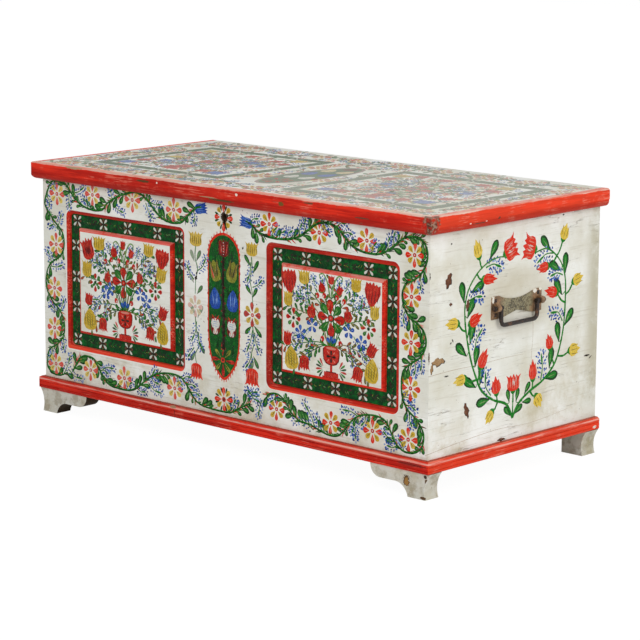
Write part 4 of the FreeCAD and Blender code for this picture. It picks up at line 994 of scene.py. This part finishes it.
# The sprays on both sides of the niche.
tulip(front, -86, 472, 90, 34, 42, "yellow", lines=6, fade=0.05)
tulip(front, 89, 469, 90, 32, 38, "yellow", lines=6, fade=0.03)
for x, y, size in ((-85, 171, 38), (90, 183, 42)):
    tulip(front, x, y, 270, size, size, "bright_red", lines=5)
    tulip(front, x, y - 4, 270, size * 0.72, size * 0.86, "red", lines=3)
for line in ([(-86, 456), (-88, 430), (-80, 405), (-86, 380), (-88, 348)],
             [(-88, 296), (-84, 262), (-76, 235), (-88, 210), (-85, 190)],
             [(88, 452), (90, 425), (84, 400), (90, 375), (92, 350)],
             [(92, 297), (96, 262), (88, 235), (94, 215), (90, 203)]):
    front.stem(line, "leaf_green", 2.8, 2, 0.1, 0.7)
for x, y, turn, size, fade in ((-90, 420, 115, 28, 0.35), (-84, 422, 62, 28, 0.15), (-92, 372, 125, 22, 0.45),
                               (-82, 348, 50, 26, 0.1), (-88, 300, 125, 26, 0.3), (-80, 296, 60, 30, 0.3),
                               (-74, 240, 300, 28, 0.05), (-88, 216, 235, 26, 0.15), (86, 430, 128, 30, 0.0),
                               (92, 415, 60, 34, 0.0), (88, 368, 130, 24, 0.0), (92, 362, 60, 26, 0.0),
                               (88, 298, 225, 26, 0.0), (96, 300, 315, 32, 0.0), (92, 225, 250, 28, 0.1),
                               (94, 232, 300, 30, 0.05)):
    leaf(front, x, y, turn, size, 9.5, "leaf_green", fade)
for x, y, turn, size, bend in ((-82, 400, 50, 46, 30), (-92, 380, 125, 40, -20), (-84, 285, 250, 52, -20),
                               (-78, 262, 285, 40, 20), (-92, 225, 230, 34, 0), (86, 440, 255, 50, -20),
                               (92, 385, 35, 36, 20), (92, 290, 250, 56, -10), (98, 285, 290, 46, 20),
                               (88, 235, 240, 40, -20), (80, 152, 330, 44, 30), (72, 140, 20, 40, -20)):
    sprig(front, x, y, turn, size, bend)
for x, y, size in ((-85, 384, 13), (-83, 395, 8), (62, 468, 7)):
    front.mark("ragged", "black_brown", x, y, 70, size, size * 0.75, 8)
for i in range(60):
    spot = chance.uniform(-590, 590), chance.uniform(92, 555)
    if not inside(*spot, window_areas):
        front.mark("ragged", chance.choice(("bare_wood", "black_brown")), *spot, chance.uniform(0, 360),
                   chance.uniform(1.5, 5), chance.uniform(1, 3), 6)
finish_canvas(front, "front_painting", Vector((0, front_face, 0)), (1, 0, 0), (0, 0, 1), "carcass")


def band(canvas, flowers, lines):
    """White four-petalled flowers on the dark band, with dark leaf sprays between them."""
    for x, y in flowers:
        for turn in (45, 135, 225, 315):
            root = step_from(x, y, turn, 3.6)
            canvas.mark("petal", "white", *root, turn + chance.uniform(-5, 5), 13.5, 6.0, 6)
        for turn in (0, 90, 180, 270):
            canvas.mark("petal", "bare_wood", x, y, turn, 14, 6.4, 4)
            canvas.mark("stroke", "black_brown", x, y, turn, 11, 3.2, 7)
    for (ax, ay), (bx, by) in lines:
        span = math.hypot(bx - ax, by - ay)
        way = math.degrees(math.atan2(by - ay, bx - ax))
        for k in range(int(span / 7)):
            x, y = step_from(ax, ay, way, 3.5 + 7 * k)
            if any(math.hypot(x - fx, y - fy) < 16 for fx, fy in flowers):
                continue
            for side in (-1, 1):
                canvas.mark("leaf", chance.choice(("dark_green", "black_brown", "dark_green")), x, y,
                            way + side * chance.uniform(28, 50), chance.uniform(9, 13), 3.4, 3)
            if chance.random() < 0.5:
                canvas.mark("stroke", chance.choice(("olive", "pale_green", "fresh_green")), x, y,
                            way + chance.uniform(-60, 60), 8, 1.3, 6)


def bouquet(canvas, cx, low, flowers, blues, sides, middle, berries):
    """A red footed cup with a spray of tulips round a large rosette."""
    mouth = low + 61
    for kind, x, y, turn, length, width in flowers:
        root = step_from(x, y, turn, -length / 2)
        grounded = root[1] < low + 22
        bend = (cx + (x - cx) * 0.35, mouth + max(y - mouth, -6) * 0.55 + 6)
        canvas.stem([(cx + (x - cx) * 0.06, mouth + 4), bend, (x, y) if grounded else root],
                    chance.choice(("leaf_green", "dark_green", "leaf_green", "ochre")), 3.0, 2, 0.0)
        way = math.degrees(math.atan2(root[1] - bend[1], root[0] - bend[0]))
        span = math.hypot(root[0] - bend[0], root[1] - bend[1])
        for k in range(int(span / 17) + 1):
            for side in (-1, 1):
                leaf(canvas, *step_from(*bend, way, 17 * k + chance.uniform(0, 9)),
                     way + side * chance.uniform(35, 55), chance.uniform(13, 19), 6.2,
                     chance.choice(("leaf_green", "leaf_green", "ochre", "red")))
        if length > 20 and not grounded:
            canvas.mark("leaf", "leaf_green", *step_from(*root, turn, -3), turn + 24, 12, 4, 4)
            canvas.mark("leaf", "leaf_green", *step_from(*root, turn, -3), turn - 24, 12, 4, 4)
        shape = kind if kind in half_outlines else "tulip"
        paint = {"bulb": "yellow", "crown": "red", "bud": "red", "maroon": "red"}.get(kind, kind)
        tulip(canvas, x, y, turn, length, width, paint, shape, 5 if length > 26 else 2)
        if kind == "bulb":
            for i in range(6):
                half = width * (0.40 - abs(i - 2) * 0.065)
                middle_of_line = step_from(*root, turn, length * (0.16 + 0.12 * i))
                start = step_from(*middle_of_line, 150, half)
                canvas.mark("stroke", "olive", *start, -30, half * 2, 1.7, 7)
        if kind == "maroon":
            for half in (-14, -7, 0, 7, 14):
                start = step_from(*root, turn + half, 12)
                canvas.mark("stroke", "dark_red", *start, turn + half, length * 0.7, 3, 6)
    canvas.mark("cup", "leaf_green", cx, mouth + 2, 90, 14, 22, 3)
    for turn in (50, 90, 130):
        canvas.mark("petal", "blue", *step_from(cx, mouth + 8, turn, 5), turn, 15, 9.5, 5)
        leaf(canvas, cx + (turn - 90) * 0.5, mouth + 3, 180 - turn, 18, 8)
    for x, y in blues:
        for turn in (20, 95, 160, 235, 305):
            root = step_from(x, y, turn, 3)
            canvas.mark("petal", "blue", *root, turn, 14, 9.5, 5)
            canvas.mark("stroke", "pale_blue", *step_from(*root, turn, 4), turn, 7, 1.2, 7)
    for x, y in sides:
        petals(canvas, x, y, 22, (90, 0, 270, 180), "red", 0.34, 0.46)
        petals(canvas, x, y, 20, (45, 135, 225, 315), "leaf_green", 0.4, 0.40, edge="dark_green")
        canvas.mark("dot", "dark_green", x, y, 0, 8, 8, 7)
    mx, my = middle
    petals(canvas, mx, my, 38, (45, 135, 225, 315), "leaf_green", 0.24, 0.46, 0.0, "dark_green")
    petals(canvas, mx, my, 38, (90, 0, 270, 180), "red", 0.22, 0.5, 0.0, "dark_red")
    canvas.mark("dot", "dark_green", mx, my, 0, 17, 17, 6)
    canvas.mark("dot", "red", mx, my, 0, 13, 13, 8)
    canvas.mark("dot", "pink", mx, my, 0, 5, 5, 10)
    for x, y in berries:
        canvas.mark("dot", "red", x, y, 0, 11, 13, 5)
        canvas.mark("dot", "white", x + chance.choice((-2, 2)), y - 2, 90, 5, 3, 7, 0.1)
        canvas.mark("leaf", "leaf_green", x, y + 5, chance.choice((60, 120)), 11, 4.4, 4)
    for side in (-1, 1):
        for dx, dy, turn, length, bend in (
                (62, 30, 82, 44, 14), (80, 24, 72, 34, 20), (66, 12, 30, 56, -70), (56, -46, 282, 50, 10),
                (66, -30, 334, 52, 40), (40, 62, 64, 26, 30), (22, 58, 84, 26, 20), (84, -52, 308, 34, 20)):
            way = turn if side > 0 else 180 - turn
            sprig(canvas, mx + side * dx, my + dy, way, length, side * bend, (4.4, 7.2), 4.2)
        canvas.stem([(mx + side * 3, my + 48), (mx + side * 10, my + 76), (mx + side * 22, my + 93),
                     (mx + side * 33, my + 90), (mx + side * 30, my + 81)], "pale_green", 4.2, 3, 0.0, 0.6)
    canvas.mark("bar", "red", cx, low - 2.5, 0, 52, 5, 5)
    canvas.mark("bar", "red", cx, low + 5, 0, 42, 10, 5)
    canvas.mark("bar", "dark_red", cx, low + 10.5, 0, 30, 2, 7)
    canvas.mark("bar", "red", cx, low + 18, 90, 18, 7, 5)
    canvas.mark("cup", "dark_red", cx, low + 25, 90, 38, 50, 6)
    canvas.mark("cup", "red", cx, low + 27, 90, 35, 46, 7)
    for turn in (0, 90, 180, 270):
        canvas.mark("petal", "black_brown", cx, low + 44, turn, 14, 6, 9)
    for turn in (45, 135, 225, 315):
        canvas.mark("stroke", "pink", *step_from(cx, low + 44, turn, 8), turn, 10, 2.4, 9)
    canvas.mark("dot", "red", cx, low + 61, 0, 44, 12, 8)
    canvas.mark("dot", "pink", cx, low + 62, 0, 30, 6, 9, 0.1)
    for side in (-1, 1):
        for i in range(6):
            turn = 90 - side * (32 + 22 * i)
            root = cx + side * 20, low + 16
            canvas.mark("petal", ("red", "leaf_green", "dark_green")[i % 3], *step_from(*root, turn, 6),
                        turn, 19, 5, 5, 0.05)


panel_paintings = {
    "left_front_panel": (
        -320, 211,
        [("maroon", -446, 408, 108, 52, 44), ("crown", -196, 412, 82, 48, 46), ("red", -444, 290, 80, 30, 28),
         ("red", -194, 288, 70, 34, 30), ("red", -396, 235, 268, 34, 30), ("red", -236, 235, 262, 34, 30),
         ("bud", -378, 351, 80, 30, 22), ("bud", -270, 361, 100, 30, 22), ("bud", -357, 412, 105, 28, 22),
         ("red", -326, 430, 90, 22, 17), ("red", -298, 413, 65, 22, 18),
         ("yellow", -407, 425, 90, 34, 42), ("yellow", -240, 428, 85, 32, 36),
         ("yellow", -199, 376, 80, 38, 36), ("yellow", -449, 361, 85, 40, 36),
         ("bulb", -440, 243, 92, 52, 46), ("bulb", -195, 242, 88, 54, 38)],
        [(-384, 312), (-370, 322), (-268, 322), (-248, 308)], [(-421, 332), (-218, 336)], (-324, 342),
        [(-385, 386), (-365, 392), (-340, 392), (-310, 392), (-290, 384), (-350, 298), (-298, 298)],
        [(-490, 468.5), (-400, 468.5), (-318, 468.5), (-219, 468.5), (-147, 468.5), (-492, 187.5),
         (-407, 187.5), (-318, 187.5), (-236, 187.5), (-147, 187.5), (-495, 410), (-495, 336), (-495, 264),
         (-147, 407), (-147, 332), (-147, 270)],
        (-495, -147, 187.5, 468.5)),
    "right_front_panel": (
        326, 220,
        [("crown", 202, 413, 98, 54, 46), ("crown", 442, 413, 82, 54, 46), ("red", 197, 288, 85, 34, 26),
         ("red", 442, 294, 60, 34, 28), ("red", 247, 239, 270, 34, 32), ("red", 402, 236, 258, 36, 32),
         ("bud", 268, 357, 80, 34, 26), ("bud", 373, 360, 100, 32, 24), ("bud", 297, 412, 110, 24, 20),
         ("red", 325, 430, 90, 20, 20), ("red", 350, 410, 60, 22, 18), ("yellow", 246, 427, 92, 32, 34),
         ("yellow", 396, 428, 90, 32, 32), ("yellow", 199, 375, 88, 34, 28), ("yellow", 449, 376, 92, 32, 28),
         ("bulb", 209, 246, 95, 52, 42), ("bulb", 442, 250, 85, 54, 40)],
        [(270, 325), (236, 305), (376, 326), (412, 306)], [(215, 334), (432, 339)], (324, 347),
        [(285, 392), (305, 394), (342, 394), (362, 388), (300, 300), (352, 296)],
        [(159.5, 464.5), (244, 464.5), (333, 464.5), (424, 464.5), (492, 464.5), (159.5, 193.5), (250, 193.5),
         (331, 193.5), (410, 193.5), (492, 193.5), (159.5, 404), (159.5, 337), (159.5, 257), (492, 404),
         (492, 342), (492, 273)],
        (159.5, 492, 193.5, 464.5)),
}
for panel, (cx, low, flowers, blues, sides, middle, berries, ring, frame_box) in panel_paintings.items():
    side_name = panel.split("_")[0]
    field = Canvas()
    bouquet(field, cx, low, flowers, blues, sides, middle, berries)
    finish_canvas(field, side_name + "_panel_bouquet", Vector((0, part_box(panel)[0].y, 0)), (1, 0, 0),
                  (0, 0, 1), "carcass")
    edge = Canvas()
    x0, x1, z0, z1 = frame_box
    band(edge, ring, [((x0, z0), (x1, z0)), ((x0, z1), (x1, z1)), ((x0, z0), (x0, z1)), ((x1, z0), (x1, z1))])
    finish_canvas(edge, side_name + "_panel_band", Vector((0, margin_face, 0)), (1, 0, 0),
                  (0, 0, 1), "carcass")


# The sides: a heart of tulips round the handle.
def wreath(canvas):
    stems = []
    for line in ([(-4, 129), (-25, 162), (-70, 179), (-108, 204), (-129, 238), (-147, 279), (-162, 333),
                  (-168, 375), (-166, 404), (-154, 433), (-125, 462), (-91, 479), (-58, 485), (-34, 483)],
                 [(-4, 129), (17, 158), (55, 179), (100, 196), (138, 225), (157, 262), (169, 308),
                  (173, 367), (171, 412), (157, 446), (130, 472), (100, 485), (64, 480)]):
        stems += canvas.stem(line, "fresh_green", 6.0, 3, 0.0, 0.5)
        for across, paint, width, layer in ((-1.2, "dark_green", 2.2, 4), (1.2, "pale_green", 1.8, 5)):
            canvas.stem([(x + across, y) for x, y in line], paint, width, layer, 0.0, 0.5)
    stems += canvas.stem([(-4, 129), (-3, 158), (-2, 188)], "fresh_green", 4.4, 3)

    def nearest(x, y):
        return min(stems, key=lambda place: math.hypot(place[0] - x, place[1] - y))

    flowers = [("bright_red", -18, 499, 24, 46, 54), ("bright_red", 44, 494, 165, 44, 56),
               ("lemon", -130, 512, 108, 42, 28), ("lemon", 167, 515, 68, 38, 30),
               ("lemon", -210, 362, 176, 42, 27), ("lemon", 218, 405, 15, 38, 28),
               ("lemon", -183, 238, 186, 40, 25), ("lemon", 211, 248, 2, 40, 30),
               ("lemon", -83, 142, 228, 34, 26), ("lemon", 86, 151, 305, 34, 32),
               ("bright_red", -86, 442, 355, 48, 24), ("bright_red", 91, 444, 186, 40, 24),
               ("bright_red", -131, 362, 22, 44, 28), ("bright_red", 121, 388, 166, 46, 26),
               ("bright_red", -104, 275, 58, 46, 30), ("bright_red", 119, 279, 108, 36, 26),
               ("bright_red", -61, 210, 97, 40, 32), ("bright_red", 64, 225, 92, 46, 28),
               ("bright_red", -2, 206, 88, 38, 46)]
    for paint, x, y, turn, length, width in flowers:
        root = step_from(x, y, turn, -length / 2)
        sx, sy, way = nearest(root[0] * 0.94, root[1] - 22)
        if math.hypot(sx - root[0], sy - root[1]) < 70:
            bend = (sx + root[0]) / 2, (sy + root[1]) / 2 - 5
            canvas.stem([(sx, sy), bend, root], "fresh_green", 5.0, 3, 0.0, 0.8)
            canvas.stem([(sx, sy - 1), (bend[0], bend[1] - 1), root], "dark_green", 1.8, 4, 0.0, 0.8)
        big = width > 40
        for side in (-1, 1):
            canvas.mark("leaf", "fresh_green", *step_from(*root, turn, -7), turn + side * 26, 18, 9, 4)
        tulip(canvas, x, y, turn, length, width, paint, "tulip" if big else "bud", 6 if big else 3)
        if big:
            for i in range(9):
                start = step_from(*root, turn + chance.uniform(-32, 32), length * chance.uniform(0.2, 0.6))
                canvas.mark("stroke", "white", *start, turn + chance.uniform(-25, 25), 13, 1.1, 8)
    for x, y in ((-78, 500), (-175, 421), (-131, 427), (-150, 385), (-145, 329), (-175, 300), (-112, 238),
                 (-129, 279), (-145, 225), (-100, 181), (171, 442), (103, 494), (138, 440), (150, 392),
                 (184, 321), (150, 292), (125, 238), (125, 200), (42, 158), (-20, 144), (15, 144), (-18, 177),
                 (11, 175), (44, 185)):
        sx, sy, way = nearest(x, y - 10)
        turn = math.degrees(math.atan2(y - sy, x - sx))
        ahead_x, ahead_y = step_from(*step_from(0, 0, turn, 0.7), way, 0.7)
        lean = math.degrees(math.atan2(ahead_y, ahead_x))
        size = 24 if abs(x) < 50 else 36
        root = step_from(x, y, lean, -size * 0.55)
        canvas.stem([(sx, sy), root], "fresh_green", 2.8, 3)
        leaf(canvas, *root, lean, size * 1.26, size * 0.54, "fresh_green")
    for x, y, turn, length, bend in (
            (-101, 468, -6, 54, -30), (-156, 404, 5, 46, -20), (-134, 292, 62, 56, -30),
            (-78, 190, 108, 62, -40), (132, 472, 195, 66, 30), (162, 420, 178, 46, 30),
            (164, 318, 152, 54, 50), (92, 196, 90, 62, 20)):
        sprig(canvas, x, y, turn, length, bend, (6.5, 10.5, 14.5), 6.2, "fresh_green")


for name, origin, way in (("right_side_painting", side_face, 1), ("left_side_painting", -side_face, -1)):
    side = Canvas()
    wreath(side)
    if way > 0:
        for x, y, turn, length, width, paint in (
                (-221, 455, 70, 34, 22, "bare_wood"), (-158, 171, 110, 36, 17, "bare_wood"),
                (-252, 288, 0, 42, 20, "tan"), (-272, 276, 80, 22, 10, "tan"),
                (-159, 396, 80, 26, 12, "bare_wood"), (-214, 404, 0, 11, 9, "bare_wood"),
                (-206, 327, 120, 9, 4, "black_brown"), (-212, 322, 40, 6, 4, "black_brown"),
                (255, 228, 0, 20, 4, "black_brown"), (268, 222, 30, 12, 3, "black_brown"),
                (-41, 88, 0, 26, 7, "bare_wood"), (-214, 531, 0, 5, 5, "black_brown"),
                (160, 552, 0, 7, 4, "black_brown"), (-225, 254, 0, 16, 4, "black_brown")):
            side.mark("ragged", paint, x, y, turn, length, width, 7)
            if length > 18:
                side.mark("ragged", "black_brown", x + 1, y - 1, turn, length * 1.08, width * 1.1, 5)
        for line in ([(-283, 262), (-200, 264), (-120, 263), (-40, 265), (30, 264)],
                     [(-290, 96), (-200, 104), (-60, 112), (60, 108), (190, 118)],
                     [(60, 360), (62, 300), (58, 250), (64, 200)]):
            side.stem(line, "tan", 0.9, 2, 0.3, 0.5)
    finish_canvas(side, name, Vector((origin, 0, 0)), (0, way, 0), (0, 0, 1), "carcass")

# The lid's top repeats the front: two green frames with bouquets, and an oval between them.
# Every mark on the lid is laid paler: a painted sheen of the top seen at a grazing angle.
lid_sheen_fade = 0.24
lid = Canvas(lid_sheen_fade)
lid_frames = ((-510, -95, -204, 188), (117, 552, -227, 188))
lid_blooms = (
    [("red", -460, 86, 90, 36, 34), ("red", -408, 145, 90, 34, 40), ("red", -313, 130, 90, 32, 36),
     ("red", -322, -11, 90, 30, 34), ("red", -293, 18, 90, 30, 30), ("red", -313, -130, 90, 34, 40),
     ("red", -215, -130, 90, 34, 40), ("red", -455, -91, 90, 34, 36), ("red", -207, 104, 90, 34, 38),
     ("red", -160, 80, 90, 30, 32), ("yellow", -452, 132, 90, 38, 46), ("lemon", -439, 7, 90, 40, 44),
     ("yellow", -170, 141, 90, 36, 44), ("blue", -458, -140, 90, 46, 44), ("blue", -412, -60, 90, 30, 32),
     ("blue", -229, 46, 90, 32, 34), ("blue", -176, 20, 90, 30, 32), ("blue", -167, -135, 90, 48, 50)],
    [("red", 178, 71, 90, 36, 40), ("red", 213, 140, 90, 34, 36), ("red", 292, 132, 90, 36, 42),
     ("red", 398, 135, 90, 36, 44), ("red", 472, 76, 90, 36, 44), ("red", 228, -150, 90, 38, 44),
     ("red", 330, -150, 90, 36, 40), ("red", 414, -154, 90, 34, 38), ("red", 476, -85, 90, 36, 40),
     ("yellow", 170, 121, 90, 40, 46), ("yellow", 466, 132, 90, 42, 50), ("blue", 470, -150, 90, 48, 52),
     ("blue", 453, 10, 90, 34, 36), ("blue", 232, 3, 90, 34, 38), ("red", 317, 20, 90, 28, 32),
     ("red", 366, -24, 90, 28, 32), ("red", 300, -63, 90, 28, 30), ("blue", 190, -150, 90, 40, 42)])
for (x0, x1, y0, y1), blooms in zip(lid_frames, lid_blooms):
    for x, y, length, width in (((x0 + x1) / 2, y0 + 15, x1 - x0, 30), ((x0 + x1) / 2, y1 - 15, x1 - x0, 30),
                                (x0 + 15, (y0 + y1) / 2, y1 - y0 - 60, 30),
                                (x1 - 15, (y0 + y1) / 2, y1 - y0 - 60, 30)):
        turn = 0 if length > y1 - y0 - 50 and abs(x - (x0 + x1) / 2) < 1 else 90
        lid.mark("bar", "niche_green", x, y, turn, length, width, 2, 0.22)
    a0, a1, b0, b1 = x0 + 15, x1 - 15, y0 + 15, y1 - 15
    ring = [(a0 + (a1 - a0) * k / 4, b) for k in range(1, 4) for b in (b0, b1)]
    ring += [(a, b0 + (b1 - b0) * k / 4) for k in range(1, 4) for a in (a0, a1)]
    band(lid, ring, [((a0, b0), (a1, b0)), ((a0, b1), (a1, b1)), ((a0, b0), (a0, b1)), ((a1, b0), (a1, b1))])
    cx, cy = (x0 + x1) / 2, (y0 + y1) / 2
    deep = (y1 - y0) / 2 - 62
    bouquet(lid, cx, cy - deep - 12, blooms, [(cx - 70, cy - 20), (cx + 70, cy - 20)],
            [(cx - 104, cy), (cx + 104, cy)], (cx, cy + 4),
            [(cx - 40, cy + 62), (cx - 14, cy + 66), (cx + 14, cy + 66), (cx + 40, cy + 62)])
lid.mark("oval", "dark_red", 17, -17, 90, 342, 122, 2, 0.5)
lid.mark("oval", "niche_green", 17, -17, 90, 330, 110, 4, 0.34)
oval_fades = {"dark_red": 0.3, "yellow": 0.62, "blue": 0.3, "white": 0.55}
for x, y, paint, turn, length in (
        (17, 118, "dark_red", 90, 40), (-8, 72, "yellow", 100, 50), (42, 72, "yellow", 80, 50),
        (-10, 10, "blue", 98, 54), (44, 10, "blue", 82, 54), (-6, -54, "white", 98, 46),
        (40, -54, "white", 82, 46)):
    tulip(lid, x, y, turn, length, 34, paint, "bulb", 2, oval_fades[paint])
petals(lid, 17, -128, 38, range(0, 360, 45), "red", 0.24, 0.26, 0.1)
lid_rosettes = [(x, y) for y in (-250, 240) for x in (-540, -430, -310, -190, -70, 60, 190, 310, 430, 550)]
lid_rosettes += [(x, y) for x in (-560, 582) for y in (-150, -40, 70, 170)]
lid_rosettes += [(-60, -100), (-62, 90), (88, -60)]
lid_taken = [(x, y, 20) for x, y in lid_rosettes]
for x, y in lid_rosettes:
    rosette(lid, x, y, 27)
lid_areas = [*lid_frames, (-46, 80, -190, 156)]
lid_field = (-598, 598, -276, 276)
for y, bow in ((-246, 1), (236, -1)):
    line = [(-580 + 48 * k, y + bow * 22 * math.sin(k * 1.25)) for k in range(25)]
    dress_vine(lid, lid.stem(line, "dark_green", 3.2, 2, 0.1, 0.8), lid_taken, lid_field, lid_areas)
for x in (-572, 574):
    line = [(x + 14 * math.sin(k * 1.4), -210 + 44 * k) for k in range(10)]
    dress_vine(lid, lid.stem(line, "dark_green", 3.2, 2), lid_taken, lid_field, lid_areas)
# Small leaves, dots and sprays fill what is left bare.
lid_taken += [(17, y, 66) for y in range(-150, 130, 40)]
for i in range(2500):
    x, y = chance.uniform(-596, 596), chance.uniform(-277, 277)
    turn = chance.uniform(0, 360)
    on_band = any(inside(x, y, [area], 6) and not inside(x, y, [area], -38) for area in lid_areas[:2])
    if on_band or any(math.hypot(x - tx, y - ty) < tr + 6 for tx, ty, tr in lid_taken):
        continue
    lid_taken.append((x, y, 6))
    kind = chance.random()
    if kind < 0.45:
        leaf(lid, x, y, turn, 18, 8)
        leaf(lid, x, y, turn + 140, 16, 7)
        lid.mark("stroke", "red", x, y, turn + 70, 14, 3.4, 5)
    elif kind < 0.8:
        for k, paint in enumerate(("red", "yellow", "red", "ochre", "bright_red")):
            lid.mark("petal", paint, *step_from(x, y, turn + 72 * k, 2), turn + 72 * k, 10, 6)
    else:
        for k in range(6):
            lid.mark("dot", ("blue", "pale_blue")[k % 2], *step_from(x, y, turn + 60 * k, 7), turn, 6, 4, 5)
# The marks on the right half are laid paler than those on the left.
paler_from, paler_by = 0.08, 0.2
lid.marks = [(*row[:6], row[6] + paler_by) if row[0] > paler_from else row for row in lid.marks]
for name, low, high in (("lid_painting_left", -1, -0.20), ("lid_painting_middle", -0.20, 0.20),
                        ("lid_painting_right", 0.20, 1)):
    part = Canvas(lid_sheen_fade)
    part.marks = [row for row in lid.marks if low <= row[0] < high]
    part.stems = [row for row in lid.stems if low <= row[0][len(row[0]) // 2][0] * MM < high]
    finish_canvas(part, name, Vector((0, 0, lid_top)), (1, 0, 0), (0, 1, 0), "lid")


# Floor, light and background
# A plain pale floor with soft light from two large lamps and a white surround. The camera
# sees both the surround and the floor as white.
def seen_directly(tree):
    """1 for what the camera, a reflection or glass sees, and 0 for light that falls on things."""
    rays = add(tree, "ShaderNodeLightPath").outputs
    through = calc(tree, "MAXIMUM", rays["Is Glossy Ray"], rays["Is Transmission Ray"])
    return calc(tree, "MAXIMUM", rays["Is Camera Ray"], through)


world = bpy.data.worlds.new("white_surround")
world.use_nodes = True
bpy.context.scene.world = world
sky = world.node_tree
surround_light = 0.50
plug(sky, sky.nodes["Background"], {"Color": opaque((1, 1, 1)),
                                    "Strength": calc(sky, "MAXIMUM", seen_directly(sky), surround_light)})

floor_data = bpy.data.meshes.new("floor")
reach = 12
floor_data.from_pydata([(-reach, -reach, 0), (reach, -reach, 0), (reach, reach, 0), (-reach, reach, 0)],
                       [], [(0, 1, 2, 3)])
floor = bpy.data.objects.new("floor", floor_data)
bpy.context.scene.collection.objects.link(floor)
floor_paint = Finish("pale_floor")
floor_paint.colour = opaque((0.9, 0.9, 0.9))
floor_data.materials.append(floor_paint.done(0.9, 0.0))
tree = floor_paint.tree
white = add(tree, "ShaderNodeEmission", {"Color": opaque((1, 1, 1)), "Strength": 1.07})
mixed = add(tree, "ShaderNodeMixShader", {0: floor_paint.times(seen_directly(tree), 0.9),
                                          1: floor_paint.shader.outputs[0], 2: white.outputs[0]})
plug(tree, tree.nodes["Material Output"], {"Surface": mixed.outputs[0]})


def lamp(name, place, size, power):
    """A large square lamp that faces the chest."""
    light = bpy.data.lights.new(name, "AREA")
    light.size = size
    light.energy = power
    made = bpy.data.objects.new(name, light)
    aim = Vector((0, 0, 0.3)) - Vector(place)
    made.matrix_world = Matrix.Translation(place) @ aim.to_track_quat("-Z", "Y").to_matrix().to_4x4()
    bpy.context.scene.collection.objects.link(made)


lamp("key_lamp", (1.6, -3.6, 3.2), 2.4, 66)
lamp("side_lamp", (4.2, 0.4, 2.6), 2.4, 62)

bpy.context.scene.view_settings.view_transform = "Standard"
bpy.context.view_layer.update()
